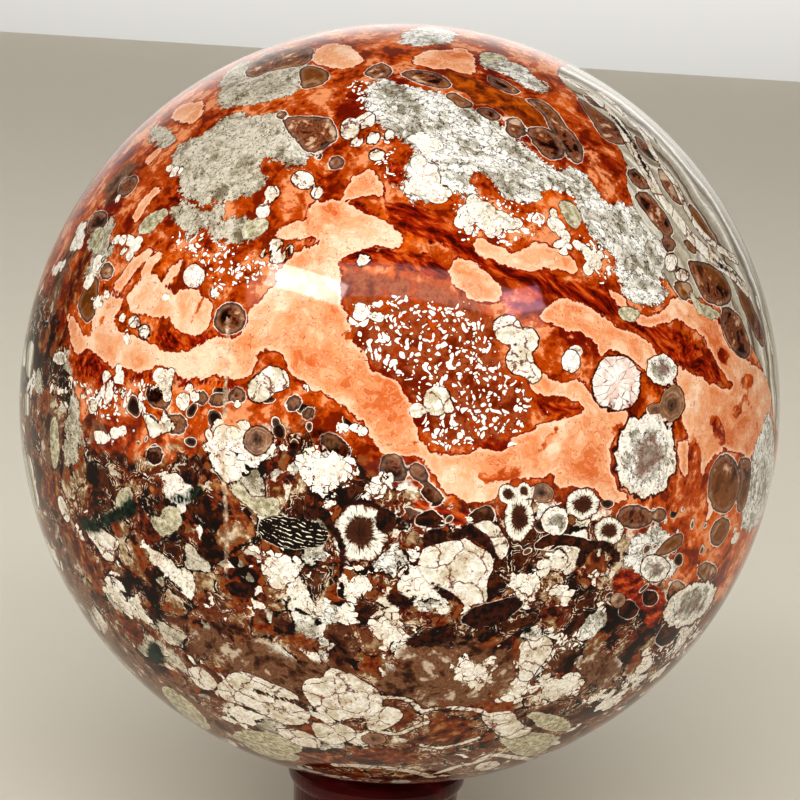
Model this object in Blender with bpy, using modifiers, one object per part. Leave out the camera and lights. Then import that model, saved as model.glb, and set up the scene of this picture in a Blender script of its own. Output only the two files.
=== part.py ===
"""Polished money agate sphere resting on a small turned wooden ring stand.

Metres, +Z up. The origin is the middle of the stand's foot, on the surface that it stands on.
"""

import math

import bmesh
import bpy

# Driving dimensions, in metres
STONE_RADIUS = 0.0600
STAND_HEIGHT = 0.0200
LIP_RADIUS = 0.0146
FOOT_RADIUS = 0.0152
WAIST_RADIUS = 0.0134
BORE_RADIUS = 0.0085
SEAT_GAP = 0.0003

# The lip is a round bead, and the foot a flatter one
LIP_BEAD = 0.0028
FOOT_BEAD_HEIGHT = 0.0044
FOOT_EDGE = 0.0012
STEP_IN = 0.0002
BORE_CHAMFER = 0.0006

# Directions on the beads' round edges, in degrees above the horizontal
LIP_BEAD_TOP = 70.0
LIP_BEAD_END = -42.0
FOOT_EDGE_TOP = 80.0

# Fineness of the round shapes
STONE_SEGMENTS = 72
STONE_RINGS = 36
STAND_STEPS = 64
SEAT_POINTS = 4
LIP_POINTS = 10
WAIST_POINTS = 9
EDGE_POINTS = 4
MERGE = 0.00001

STONE_COLOUR = (0.46, 0.17, 0.09, 1.0)
STONE_ROUGHNESS = 0.06
STAND_COLOUR = (0.085, 0.008, 0.006, 1.0)
STAND_ROUGHNESS = 0.18


def arc(centre_r, centre_z, radius, start, end, count):
    """Points of a circular arc in the (r, z) plane, from one direction to another, in degrees."""
    points = []
    for i in range(count):
        angle = math.radians(start + (end - start) * i / (count - 1))
        points.append((centre_r + radius * math.cos(angle), centre_z + radius * math.sin(angle)))
    return points


def lip_centre():
    """Middle of the lip's bead in the (r, z) plane. The seat's outer edge is the stand's highest point."""
    return LIP_RADIUS - LIP_BEAD, STAND_HEIGHT - LIP_BEAD * math.sin(math.radians(LIP_BEAD_TOP))


def seat_edge():
    """Radius at which the dished seat meets the top of the lip's bead."""
    return lip_centre()[0] + LIP_BEAD * math.cos(math.radians(LIP_BEAD_TOP))


def seat_depth(r):
    """How far the seat's surface lies below the stone's centre, at a radius from the axis."""
    return math.sqrt((STONE_RADIUS + SEAT_GAP) ** 2 - r**2)


def stone_height():
    """Height of the stone's centre, which puts the seat's outer edge at the stand's full height."""
    return STAND_HEIGHT + seat_depth(seat_edge())


def seat_profile():
    """The dished seat, from the bore's chamfer out to the lip. It follows the stone at an even gap."""
    inner = BORE_RADIUS + BORE_CHAMFER
    points = []
    for i in range(SEAT_POINTS):
        r = inner + (seat_edge() - inner) * i / SEAT_POINTS
        points.append((r, stone_height() - seat_depth(r)))
    return points


def waist_profile(edge_r, top, bottom):
    """The hollow waist: one arc from an edge at a height down to the same edge lower, deepest midway."""
    middle = (top + bottom) / 2
    half = (top - bottom) / 2
    depth = edge_r - WAIST_RADIUS
    radius = (half**2 + depth**2) / (2 * depth)
    points = []
    for i in range(WAIST_POINTS):
        z = top + (bottom - top) * i / (WAIST_POINTS - 1)
        points.append((WAIST_RADIUS + radius - math.sqrt(radius**2 - (z - middle) ** 2), z))
    return points


def foot_profile():
    """The foot's rounded side, from its top edge down to the underside."""
    side = FOOT_RADIUS - FOOT_EDGE
    upper = arc(side, FOOT_BEAD_HEIGHT - FOOT_EDGE, FOOT_EDGE, FOOT_EDGE_TOP, 0, EDGE_POINTS)
    lower = arc(side, FOOT_EDGE, FOOT_EDGE, 0, -90, EDGE_POINTS)
    return upper + lower


def stand_profile():
    """The ring's whole outline: seat, lip, waist and foot, then the underside and up the bore."""
    seat = seat_profile()
    lip_r, lip_z = lip_centre()
    lip = arc(lip_r, lip_z, LIP_BEAD, LIP_BEAD_TOP, LIP_BEAD_END, LIP_POINTS)
    waist = waist_profile(lip[-1][0] - STEP_IN, lip[-1][1], FOOT_BEAD_HEIGHT)
    bore = [
        (BORE_RADIUS + BORE_CHAMFER, 0.0),
        (BORE_RADIUS, BORE_CHAMFER),
        (BORE_RADIUS, seat[0][1] - BORE_CHAMFER),
    ]
    return seat + lip + waist + foot_profile() + bore


def finish(name, roughness, colour):
    """A plain Principled surface of a stone or a wood, which has no metal in it."""
    material = bpy.data.materials.new(name)
    material.use_nodes = True
    shader = material.node_tree.nodes["Principled BSDF"]
    shader.inputs["Base Color"].default_value = colour
    shader.inputs["Roughness"].default_value = roughness
    shader.inputs["Metallic"].default_value = 0.0
    return material


def add_stone(collection):
    """The agate itself: one polished ball."""
    mesh = bpy.data.meshes.new("agate_sphere")
    shape = bmesh.new()
    bmesh.ops.create_uvsphere(
        shape, u_segments=STONE_SEGMENTS, v_segments=STONE_RINGS, radius=STONE_RADIUS
    )
    shape.to_mesh(mesh)
    shape.free()
    mesh.shade_smooth()
    mesh.materials.append(finish("polished_agate", STONE_ROUGHNESS, STONE_COLOUR))
    stone = bpy.data.objects.new("agate_sphere", mesh)
    stone.location.z = stone_height()
    collection.objects.link(stone)


def add_stand(collection):
    """The turned ring: its outline swept once round the upright axis."""
    outline = stand_profile()
    points = [(r, 0.0, z) for r, z in outline]
    edges = [(i, (i + 1) % len(points)) for i in range(len(points))]
    mesh = bpy.data.meshes.new("ring_stand")
    mesh.from_pydata(points, edges, [])
    mesh.materials.append(finish("red_lacquered_wood", STAND_ROUGHNESS, STAND_COLOUR))
    stand = bpy.data.objects.new("ring_stand", mesh)
    collection.objects.link(stand)
    turning = stand.modifiers.new("turning", "SCREW")
    turning.axis = "Z"
    turning.angle = math.tau
    turning.steps = STAND_STEPS
    turning.render_steps = STAND_STEPS
    turning.use_merge_vertices = True
    turning.merge_threshold = MERGE
    turning.use_smooth_shade = True


def main():
    for old in list(bpy.data.objects):
        bpy.data.objects.remove(old)
    collection = bpy.data.collections.new("money_agate_sphere")
    bpy.context.scene.collection.children.link(collection)
    add_stone(collection)
    add_stand(collection)


main()
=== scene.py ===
"""Polished money agate ball on its turned ring stand, on a pale studio table.

Laid out as a Blender add-on and run as a script. Lengths are in metres unless a name says millimetres,
and places read from the photograph are pixels of its 800 x 800 frame.
"""

import functools
import math
import typing

import bpy
import numpy as np
from bpy.props import FloatProperty, FloatVectorProperty, PointerProperty
from mathutils import Matrix, Vector


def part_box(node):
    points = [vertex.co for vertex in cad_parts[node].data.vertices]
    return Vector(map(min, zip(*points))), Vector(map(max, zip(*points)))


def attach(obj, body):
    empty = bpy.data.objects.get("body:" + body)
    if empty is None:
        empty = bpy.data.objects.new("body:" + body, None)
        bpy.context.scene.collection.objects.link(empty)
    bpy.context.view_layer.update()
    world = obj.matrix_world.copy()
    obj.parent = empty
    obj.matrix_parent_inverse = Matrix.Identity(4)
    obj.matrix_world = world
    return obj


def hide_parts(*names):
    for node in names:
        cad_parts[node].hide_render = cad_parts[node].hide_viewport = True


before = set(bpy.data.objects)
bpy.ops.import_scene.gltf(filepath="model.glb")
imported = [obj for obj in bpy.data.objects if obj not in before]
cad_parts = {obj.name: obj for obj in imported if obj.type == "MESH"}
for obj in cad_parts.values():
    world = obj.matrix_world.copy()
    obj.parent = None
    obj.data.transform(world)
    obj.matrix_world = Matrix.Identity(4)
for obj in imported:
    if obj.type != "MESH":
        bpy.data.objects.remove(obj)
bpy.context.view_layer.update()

bl_info = {
    "name": "Money Agate Ball",
    "version": (1, 0, 0),
    "blender": (4, 5, 0),
    "location": "3D View > Sidebar > Agate",
    "description": "A polished money agate ball on its ring stand, with a pale studio stage",
    "category": "Object",
}

# The ball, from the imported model
BALL_LOW, BALL_HIGH = (np.array(corner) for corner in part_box("agate_sphere"))
BALL_CENTRE = (BALL_LOW + BALL_HIGH) / 2
BALL_RADIUS = (BALL_HIGH[2] - BALL_LOW[2]) / 2
MM = 1000.0
BALL_MM = BALL_RADIUS * MM

# How the photograph looks at the ball: its outline in pixels, the distance in ball radii, and the angles
PHOTO_SIDE = 800
OUTLINE_CENTRE = (399.7, 403.9)
OUTLINE_RADIUS = 380.4
VIEW_DISTANCE = 6.5
VIEW_HEIGHT = math.radians(12.0)
VIEW_ROLL = math.radians(3.6)
LENS_PIXELS = OUTLINE_RADIUS * math.sqrt(VIEW_DISTANCE**2 - 1)
LIMB_ANGLE = math.acos(1 / VIEW_DISTANCE)
TO_CAMERA = np.array((0.0, -math.cos(VIEW_HEIGHT), math.sin(VIEW_HEIGHT)))
VIEW_RIGHT = np.array((1.0, 0.0, 0.0))
VIEW_UP = np.array((0.0, math.sin(VIEW_HEIGHT), math.cos(VIEW_HEIGHT)))

# Fineness of the ball's skin: cells along each side of the square that is folded round it
BALL_CELLS = 312
# A marking is felt this far outside its edge, in millimetres
REACH = 6.0
# Points of the curves: between two drawn points, and round an oval and a lobed outline
CURVE_STEPS = 4
OVAL_POINTS = 16
LOBED_POINTS = 24
# No marking lies exactly this way from the middle, so the skin can be laid flat by it anywhere
NEARLY_UP = (0.0, 0.02, 1.0)
TINY = 1e-9

# Where rust-red stone gives way to dark brown below it: pixels across the face that the photograph
# shows, then degrees round from the front and degrees up on the sides that it doesn't show
RUST_EDGE = [
    (30, 290), (44, 288), (58, 304), (68, 348), (76, 404), (92, 446), (130, 456), (165, 452), (215, 446),
    (265, 432), (310, 430), (345, 446), (378, 468), (410, 482), (440, 498), (480, 510), (530, 502),
    (580, 500), (612, 514), (640, 548), (675, 600), (716, 606), (745, 570),
]
RUST_EDGE_BEHIND = [(112, -16), (140, -2), (165, 8), (190, 12), (215, 4), (240, 12), (262, 22)]

# Each family of markings: closed outlines, ovals (x, y, half width, half height, tilt in degrees) and
# strokes (half width in millimetres, points)
LAYOUT = {
    "peach": (
        [
            # The great peach field and the arm that runs out to the left under it
            [(337, 200), (372, 216), (400, 230), (400, 248), (383, 246), (366, 247), (350, 254), (338, 262),
             (342, 272), (341, 295), (347, 318), (352, 337), (366, 356), (371, 369), (385, 375), (401, 385),
             (411, 402), (414, 420), (420, 440), (432, 452), (448, 455), (465, 454), (483, 448), (500, 452),
             (512, 440), (530, 431), (545, 423), (560, 420), (575, 416), (585, 409), (575, 401), (560, 397),
             (545, 397), (535, 392), (530, 380), (540, 374), (552, 378), (565, 383), (577, 380), (586, 386),
             (592, 396), (605, 409), (618, 411), (632, 412), (622, 425), (613, 440), (610, 457), (612, 475),
             (620, 490), (628, 498), (616, 504), (607, 508), (600, 493), (590, 487), (557, 486), (552, 474),
             (543, 478), (525, 478), (512, 479), (505, 485), (496, 495), (486, 501), (472, 502), (456, 497),
             (441, 487), (432, 472), (422, 458), (409, 454), (390, 453), (379, 449), (370, 435), (364, 422),
             (350, 413), (347, 407), (322, 393), (297, 379), (288, 368), (283, 356), (270, 350), (258, 354),
             (253, 370), (245, 378), (225, 377), (211, 376), (186, 379), (173, 373), (164, 365), (154, 366),
             (140, 371), (128, 368), (112, 366), (102, 358), (89, 349), (76, 354), (70, 335), (67, 314),
             (76, 320), (82, 335), (91, 338), (92, 310), (99, 297), (111, 295), (123, 300), (117, 313),
             (114, 326), (125, 333), (140, 338), (155, 347), (168, 352), (186, 350), (200, 345), (212, 336),
             (225, 337), (238, 336), (247, 326), (250, 311), (262, 300), (277, 284), (276, 272), (289, 258),
             (300, 250), (313, 246), (322, 243), (310, 238), (296, 237), (283, 241), (273, 233), (285, 226),
             (298, 220), (307, 222), (309, 210), (315, 204)],
            [(127, 300), (132, 288), (142, 280), (155, 275), (160, 283), (172, 290), (178, 301), (175, 313),
             (163, 318), (148, 315), (134, 312)],
            [(171, 322), (170, 306), (178, 292), (190, 288), (200, 292), (208, 300), (212, 313), (207, 328),
             (194, 334), (180, 331)],
            [(114, 286), (124, 272), (134, 258), (148, 250), (152, 254), (141, 266), (130, 278), (120, 290)],
            [(140, 276), (146, 262), (156, 254), (162, 256), (154, 266), (148, 276)],
            [(163, 280), (172, 268), (182, 258), (185, 262), (176, 274), (168, 284)],
            [(132, 218), (138, 206), (148, 194), (156, 186), (160, 190), (152, 200), (143, 212), (137, 221)],
            [(144, 163), (150, 155), (158, 148), (161, 151), (154, 159), (148, 165)],
            [(173, 118), (177, 108), (190, 103), (203, 102), (202, 112), (196, 121), (184, 124)],
            [(312, 58), (318, 49), (330, 44), (348, 45), (357, 52), (365, 60), (355, 66), (335, 68),
             (320, 65)],
            [(410, 60), (425, 52), (445, 50), (462, 48), (473, 55), (476, 68), (468, 74), (452, 70),
             (430, 68)],
            [(344, 199), (350, 183), (360, 173), (372, 170), (381, 182), (383, 198), (370, 196), (355, 198)],
            [(472, 245), (480, 240), (495, 244), (510, 252), (524, 250), (535, 243), (550, 246), (565, 252),
             (575, 262), (573, 274), (560, 270), (545, 268), (528, 272), (512, 268), (495, 262), (480, 255)],
            [(450, 268), (460, 258), (475, 264), (490, 275), (502, 288), (500, 298), (488, 302), (475, 300),
             (460, 290)],
            [(540, 318), (550, 304), (565, 300), (580, 305), (598, 314), (614, 325), (630, 331), (644, 340),
             (654, 350), (662, 366), (652, 378), (642, 366), (628, 356), (612, 350), (600, 356), (594, 342),
             (580, 332), (562, 328)],
            # Right of the dark band's tail, and round its tip
            [(610, 288), (622, 296), (632, 309), (650, 317), (664, 309), (674, 297), (690, 302), (704, 312),
             (718, 322), (724, 340), (738, 356), (750, 363), (764, 373), (771, 392), (769, 416), (761, 438),
             (750, 457), (738, 451), (722, 450), (709, 462), (703, 475), (697, 454), (689, 437), (683, 420),
             (683, 402), (677, 384), (676, 366), (690, 372), (708, 382), (724, 389), (733, 386), (724, 372),
             (714, 356), (706, 340), (694, 328), (678, 321), (662, 323), (646, 326), (628, 313), (612, 298)],
            [(679, 446), (687, 442), (689, 460), (686, 478), (681, 470)],
            [(708, 500), (712, 488), (715, 500), (712, 514), (707, 520)],
        ],
        [],
        [],
    ),
    "rust_in_peach": (
        [
            [(342, 334), (350, 330), (356, 336), (352, 340), (354, 346), (349, 341)],
            [(477, 478), (484, 469), (491, 465), (494, 473), (500, 468), (512, 466), (520, 468), (519, 477),
             (505, 480), (490, 484)],
            [(710, 420), (716, 416), (722, 424), (726, 440), (722, 448), (716, 438)],
            [(692, 436), (698, 444), (702, 458), (698, 474), (692, 470), (690, 452)],
            [(717, 351), (722, 347), (729, 353), (728, 362), (721, 362)],
            [(247, 350), (244, 344), (249, 341), (252, 347)],
            [(610, 428), (618, 424), (624, 428), (616, 436)],
        ],
        [(747, 381, 7, 8, 0), (737, 411, 5, 8, 20), (247, 349, 3, 3, 0), (251, 336, 2, 2, 0)],
        [
            (0.35, [(539, 452), (548, 440), (556, 430)]),
            (0.30, [(748, 390), (742, 402), (733, 410)]),
            (0.30, [(744, 396), (752, 410), (757, 426)]),
            (0.25, [(99, 330), (104, 315), (110, 304)]),
            (0.35, [(118, 315), (135, 316), (155, 321), (170, 324)]),
            (0.25, [(206, 290), (200, 305), (190, 322)]),
            (0.20, [(391, 442), (402, 444), (420, 442)]),
            (0.20, [(315, 232), (322, 243), (327, 249)]),
            (0.25, [(306, 224), (309, 214), (304, 207)]),
        ],
    ),
    "deep": (
        [
            # The dark red band that sweeps across under the crust
            [(385, 203), (405, 205), (428, 208), (445, 222), (462, 238), (480, 248), (500, 258), (520, 266),
             (545, 272), (570, 282), (600, 290), (625, 305), (645, 318), (662, 324), (680, 332), (695, 343),
             (706, 357), (720, 372), (730, 384), (715, 383), (695, 373), (675, 362), (660, 352), (648, 338),
             (630, 325), (610, 318), (585, 308), (560, 298), (535, 290), (510, 280), (488, 270), (465, 258),
             (445, 246), (425, 240), (405, 232), (390, 222)],
            [(336, 262), (345, 254), (356, 249), (368, 246), (385, 248), (400, 252), (420, 255), (440, 262),
             (450, 268), (440, 276), (420, 272), (400, 270), (375, 268), (350, 268)],
            [(78, 356), (88, 350), (100, 360), (112, 368), (130, 372), (125, 380), (105, 383), (90, 378),
             (78, 370)],
            [(410, 508), (422, 500), (440, 505), (455, 510), (468, 508), (472, 516), (460, 526), (440, 524),
             (420, 518)],
            [(612, 590), (622, 572), (640, 570), (655, 582), (664, 600), (660, 620), (650, 628), (642, 610),
             (628, 600)],
            [(151, 334), (168, 330), (190, 334), (210, 330), (222, 336), (205, 345), (185, 349), (165, 348)],
            [(186, 172), (194, 188), (200, 205), (192, 210), (176, 205), (172, 190)],
            [(535, 398), (556, 400), (575, 405), (586, 410), (570, 414), (550, 416), (538, 410)],
        ],
        [(360, 207, 18, 6, 25), (396, 174, 9, 12, 0)],
        [(0.5, [(100, 385), (130, 378), (170, 378), (215, 384), (250, 392)])],
    ),
    "brick": (
        [
            # Behind the flecks in the middle, and under the band
            [(346, 268), (380, 274), (420, 282), (452, 292), (488, 306), (496, 330), (506, 374), (526, 390),
             (526, 420), (505, 438), (480, 440), (450, 446), (432, 440), (420, 410), (404, 390), (378, 370),
             (356, 345), (346, 310)],
        ],
        [],
        [],
    ),
    "amber": (
        [
            [(448, 72), (462, 75), (480, 82), (505, 93), (520, 98), (535, 103), (548, 118), (552, 127),
             (540, 130), (527, 128), (517, 120), (505, 113), (498, 108), (485, 104), (474, 104), (466, 94),
             (452, 88)],
        ],
        [],
        [],
    ),
    "crust": (
        [
            [(219, 95), (222, 80), (230, 70), (245, 62), (262, 64), (280, 60), (300, 57), (306, 66),
             (303, 78), (300, 88), (290, 95), (275, 97), (262, 103), (248, 104), (235, 106), (222, 108)],
            [(200, 136), (214, 126), (222, 117), (240, 114), (258, 116), (275, 112), (284, 114), (292, 122),
             (302, 127), (312, 124), (320, 128), (316, 140), (322, 148), (314, 153), (309, 160), (300, 166),
             (288, 166), (276, 160), (264, 160), (260, 170), (268, 180), (262, 190), (250, 195), (238, 199),
             (226, 200), (216, 197), (208, 203), (196, 201), (186, 197), (180, 190), (178, 178), (180, 170),
             (172, 165), (175, 150), (188, 140)],
            [(174, 206), (184, 203), (196, 207), (208, 209), (220, 207), (224, 216), (216, 226), (206, 226),
             (198, 234), (190, 237), (180, 228), (172, 216)],
            [(226, 221), (238, 216), (252, 218), (262, 222), (264, 232), (252, 240), (238, 242), (226, 240),
             (214, 240), (212, 230)],
            [(366, 100), (370, 86), (385, 80), (400, 84), (425, 90), (447, 94), (462, 104), (480, 112),
             (500, 122), (515, 138), (530, 150), (545, 163), (560, 170), (575, 166), (590, 180), (605, 200),
             (625, 205), (640, 215), (655, 232), (664, 245), (668, 262), (672, 275), (660, 280), (668, 292),
             (660, 304), (645, 308), (630, 300), (620, 285), (616, 270), (612, 255), (600, 245), (590, 235),
             (580, 215), (575, 200), (562, 192), (550, 190), (540, 198), (528, 204), (515, 200), (500, 195),
             (492, 180), (480, 172), (470, 178), (474, 190), (468, 198), (458, 190), (448, 200), (430, 201),
             (412, 200), (405, 185), (406, 165), (415, 150), (400, 140), (385, 128), (372, 118)],
            [(480, 62), (492, 58), (505, 60), (520, 64), (535, 76), (548, 86), (545, 93), (530, 90),
             (518, 82), (505, 74), (490, 70)],
            [(741, 520), (745, 495), (750, 470), (755, 448), (762, 430), (768, 412), (773, 430), (774, 460),
             (770, 490), (762, 515), (752, 530), (742, 528)],
            [(626, 562), (630, 545), (640, 535), (652, 525), (665, 530), (672, 538), (665, 548), (655, 552),
             (668, 556), (678, 562), (672, 575), (660, 582), (645, 582), (638, 570)],
            [(400, 42), (405, 33), (420, 28), (440, 29), (455, 34), (452, 42), (435, 44), (415, 45)],
            [(66, 465), (64, 440), (66, 420), (72, 410), (78, 425), (79, 445), (76, 462)],
            [(88, 240), (98, 228), (112, 216), (114, 226), (108, 240), (104, 255), (94, 262), (90, 250)],
            [(150, 132), (158, 124), (170, 134), (176, 142), (166, 147), (154, 144)],
            [(92, 262), (100, 250), (104, 236), (112, 246), (108, 258), (98, 276), (88, 290), (84, 280)],
            [(66, 436), (68, 412), (72, 396), (80, 404), (78, 430), (74, 458)],
        ],
        [(724, 500, 10, 12, 0)],
        [],
    ),
    "belt": (
        [
            # The pale belt along the right limb, and strips of the same stone along the left one
            [(560, 70), (584, 58), (636, 67), (666, 108), (716, 120), (731, 171), (776, 195), (772, 253),
             (804, 296), (791, 342), (788, 372), (786, 404), (780, 436), (774, 420), (770, 388), (756, 354),
             (744, 332), (730, 312), (716, 302), (700, 298), (684, 300), (673, 288), (664, 268), (668, 252),
             (660, 238), (648, 228), (636, 208), (628, 188), (626, 164), (618, 146), (604, 126), (592, 112),
             (578, 96), (562, 80)],
        ],
        [(30, 360, 4, 20, 2), (27, 404, 4, 12, 0), (29, 492, 7, 40, -4)],
        [],
    ),
    "white": (
        [
            [(119, 250), (128, 242), (138, 238), (144, 243), (138, 250), (128, 254)],
            [(69, 250), (72, 238), (78, 228), (84, 227), (82, 240), (74, 251)],
            [(80, 292), (85, 280), (92, 268), (96, 258), (105, 250), (108, 243), (108, 255), (100, 266),
             (92, 280), (84, 291)],
            [(351, 316), (356, 302), (364, 304), (372, 308), (381, 314), (374, 320), (364, 326), (357, 322)],
            [(408, 190), (406, 170), (410, 158), (420, 150), (412, 140), (425, 132), (440, 138), (446, 150),
             (434, 155), (432, 165), (440, 178), (450, 185), (452, 196), (440, 201), (420, 201)],
            [(458, 215), (462, 204), (475, 200), (492, 205), (505, 212), (515, 220), (514, 230), (500, 232),
             (490, 234), (478, 226), (466, 228)],
            [(548, 217), (556, 212), (565, 225), (574, 240), (575, 250), (565, 252), (555, 247), (555, 235)],
            [(334, 434), (340, 428), (350, 420), (358, 417), (366, 424), (367, 434), (360, 441), (350, 438),
             (342, 436)],
            [(294, 463), (300, 452), (318, 447), (335, 452), (350, 460), (356, 478), (350, 488), (338, 490),
             (331, 500), (326, 511), (318, 495), (305, 475)],
            [(366, 480), (375, 474), (385, 473), (389, 482), (387, 495), (378, 500), (368, 496)],
            [(262, 552), (275, 549), (290, 552), (303, 560), (306, 575), (295, 585), (275, 588), (264, 575)],
            [(341, 582), (350, 570), (362, 568), (374, 575), (376, 588), (368, 597), (355, 603), (345, 598)],
            [(367, 622), (378, 610), (392, 603), (400, 608), (398, 618), (408, 628), (412, 640), (398, 646),
             (385, 648), (374, 636)],
            # Round the foot of the largest ring
            [(396, 586), (400, 578), (412, 572), (422, 575), (428, 584), (436, 592), (446, 600), (450, 606),
             (444, 612), (434, 608), (420, 602), (406, 600), (398, 596)],
            [(508, 574), (520, 570), (532, 572), (540, 580), (538, 595), (528, 604), (516, 597), (508, 586)],
            [(455, 668), (462, 655), (470, 648), (472, 658), (480, 660), (492, 658), (494, 664), (486, 672),
             (488, 682), (480, 689), (468, 682), (458, 680)],
            [(517, 675), (520, 655), (526, 640), (535, 642), (545, 636), (553, 645), (548, 660), (538, 668),
             (530, 680), (532, 690), (520, 700), (502, 703), (500, 695), (510, 683)],
            [(536, 700), (540, 685), (552, 678), (565, 676), (578, 672), (582, 682), (574, 692), (560, 700),
             (545, 704)],
            [(585, 702), (592, 694), (604, 690), (613, 690), (608, 700), (596, 705)],
            [(622, 685), (630, 675), (642, 670), (649, 672), (644, 682), (632, 688)],
            [(636, 670), (640, 660), (648, 650), (655, 655), (652, 665), (644, 672)],
            [(118, 562), (118, 580), (125, 592), (138, 610), (142, 621), (130, 618), (118, 606), (105, 590),
             (112, 578)],
            [(202, 455), (204, 442), (212, 432), (218, 428), (222, 440), (216, 452)],
            [(205, 440), (215, 425), (228, 418), (245, 425), (252, 440), (256, 452), (240, 454), (225, 450),
             (208, 458)],
            [(160, 392), (168, 386), (174, 392), (170, 402), (163, 402)],
            [(183, 390), (192, 386), (198, 392), (194, 400), (186, 400)],
            [(104, 395), (108, 388), (116, 390), (114, 402), (106, 404)],
            [(545, 590), (558, 580), (572, 584), (570, 596), (556, 602)],
        ],
        [
            (375, 164, 4, 2, 0), (218, 296, 4, 4, 0), (125, 337, 3, 4, 0),
            (121, 240, 5, 5, 0), (57, 268, 3, 9, 30), (104, 290, 3, 5, 0),
            (419, 410, 4, 4, 0), (571, 361, 10, 11, 0), (591, 262, 9, 12, 0), (597, 250, 5, 5, 0),
            (100, 436, 4, 11, 5), (116, 433, 8, 7, 0), (175, 172, 7, 5, 20), (117, 204, 3, 6, 0),
            (216, 287, 3, 3, 0), (121, 316, 2, 5, 30), (97, 305, 3, 4, 30), (165, 300, 2, 2, 0),
            (737, 539, 4, 8, 15), (600, 610, 6, 5, 0), (560, 348, 4, 4, 0), (111, 384, 7, 8, 0),
            (124, 393, 5, 9, 10), (121, 372, 3, 4, 0), (132, 398, 5, 5, 0), (163, 383, 12, 12, 0),
            (185, 400, 10, 12, 0), (91, 400, 6, 11, -40), (58, 266, 4, 7, 30), (98, 299, 4, 3, 0),
            (553, 562, 20, 12, -20), (310, 392, 9, 5, 20), (340, 408, 8, 5, 25), (236, 404, 6, 5, 0),
            (600, 579, 10, 5, 0), (60, 388, 9, 4, 0), (72, 384, 4, 5, 0), (344, 612, 12, 6, 30),
            (320, 606, 8, 6, 0),
        ],
        [(0.4, [(412, 556), (418, 540), (426, 529), (446, 526), (468, 523)])],
    ),
    "shell": (
        [
            # White stone that cut smooth: pieces in the left and lower stone
            [(262, 372), (270, 366), (280, 368), (288, 376), (289, 388), (275, 391), (266, 402), (254, 402),
             (248, 392), (248, 382)],
            [(137, 401), (142, 402), (149, 416), (159, 423), (164, 410), (168, 418), (177, 428), (164, 433),
             (152, 438), (146, 424)],
            [(86, 531), (98, 526), (106, 532), (118, 541), (118, 548), (112, 552), (115, 560), (106, 560),
             (96, 545)],
            # The largest ring: its heart and its thick right side
            [(423, 550), (430, 546), (440, 543), (450, 541), (458, 541), (465, 538), (472, 542), (480, 547),
             (488, 552), (493, 560), (492, 570), (486, 582), (488, 596), (484, 602), (474, 604), (466, 606),
             (458, 598), (450, 592), (442, 588), (432, 584), (424, 576), (418, 565)],
            [(470, 523), (484, 520), (495, 524), (503, 533), (509, 545), (507, 554), (502, 560), (497, 556),
             (495, 548), (490, 538), (483, 532), (476, 527)],
            # At the bottom
            [(302, 690), (308, 680), (322, 678), (330, 668), (345, 672), (362, 680), (377, 690), (382, 705),
             (374, 716), (355, 718), (335, 720), (318, 712), (310, 702)],
            [(218, 690), (225, 680), (245, 688), (262, 695), (280, 700), (298, 706), (310, 715), (304, 724),
             (285, 724), (270, 718), (255, 710), (240, 704), (225, 700)],
            [(312, 724), (330, 724), (348, 726), (356, 735), (345, 742), (328, 744), (316, 736)],
            [(188, 671), (200, 667), (217, 683), (212, 690), (199, 687)],
            [(226, 676), (244, 672), (264, 680), (292, 692), (299, 700), (280, 697), (254, 689), (235, 687)],
            [(288, 729), (308, 733), (322, 744), (312, 748), (292, 742), (276, 731)],
            [(482, 715), (500, 712), (512, 712), (520, 722), (532, 730), (520, 737), (505, 738), (490, 728)],
            [(366, 724), (374, 712), (388, 706), (402, 712), (398, 722), (384, 729), (372, 731)],
            [(526, 640), (535, 642), (545, 636), (553, 645), (546, 660), (538, 668), (530, 680), (520, 678),
             (520, 655)],
        ],
        [
            (350, 129, 10, 11, 0), (367, 120, 8, 8, 0), (356, 143, 7, 4, 0), (373, 138, 6, 6, 0),
            (390, 135, 5, 6, 0), (377, 155, 8, 6, 0), (303, 180, 12, 8, 20), (317, 192, 6, 6, 0),
            (272, 193, 8, 8, 0), (263, 211, 8, 7, 0), (276, 244, 8, 6, 0), (278, 258, 9, 6, 0),
            (290, 249, 3, 5, 0), (263, 254, 4, 4, 0), (363, 260, 7, 6, 0), (144, 332, 6, 7, 0),
            (134, 322, 6, 6, 0), (437, 401, 14, 15, 0), (671, 262, 6, 9, 10), (682, 275, 7, 6, 0),
            (64, 509, 4, 14, -20), (88, 528, 6, 4, 20), (487, 766, 13, 4, -12),
            # The blob beside the flecks
            (507, 329, 14, 14, 0), (527, 340, 11, 13, 0), (520, 361, 14, 14, 0), (533, 374, 8, 9, 0),
            (449, 407, 5, 6, 0), (425, 411, 4, 4, 0),
        ],
        [
            # Shells between the long lenses down the right limb
            (1.1, [(572, 82), (588, 92), (606, 108), (622, 128), (631, 146), (646, 170), (658, 194),
                   (676, 217), (690, 236), (706, 252), (732, 274), (746, 290)]),
            (0.7, [(600, 93), (617, 107), (632, 123), (644, 134), (656, 158), (674, 182), (686, 208),
                   (699, 229), (716, 246), (736, 260)]),
            (0.8, [(757, 300), (765, 322), (772, 350)]),
            (0.9, [(640, 80), (690, 98), (722, 134), (744, 172), (776, 214), (786, 262)]),
            # Thin shells that wrap the nodules at the bottom
            (0.40, [(382, 697), (397, 698), (412, 702), (423, 713), (432, 709), (450, 708), (477, 710),
                    (486, 716)]),
            (0.40, [(380, 732), (397, 734), (413, 728), (428, 722)]),
            (0.40, [(420, 745), (440, 748), (460, 744), (478, 738)]),
            (0.8, [(334, 765), (360, 766), (385, 768), (413, 772), (432, 777)]),
            (0.6, [(438, 773), (456, 767), (477, 762), (490, 755), (512, 757), (536, 760)]),
        ],
    ),
    "lens": (
        [
            [(245, 72), (262, 56), (285, 49), (305, 47), (313, 50), (311, 60), (300, 66), (285, 68),
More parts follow.
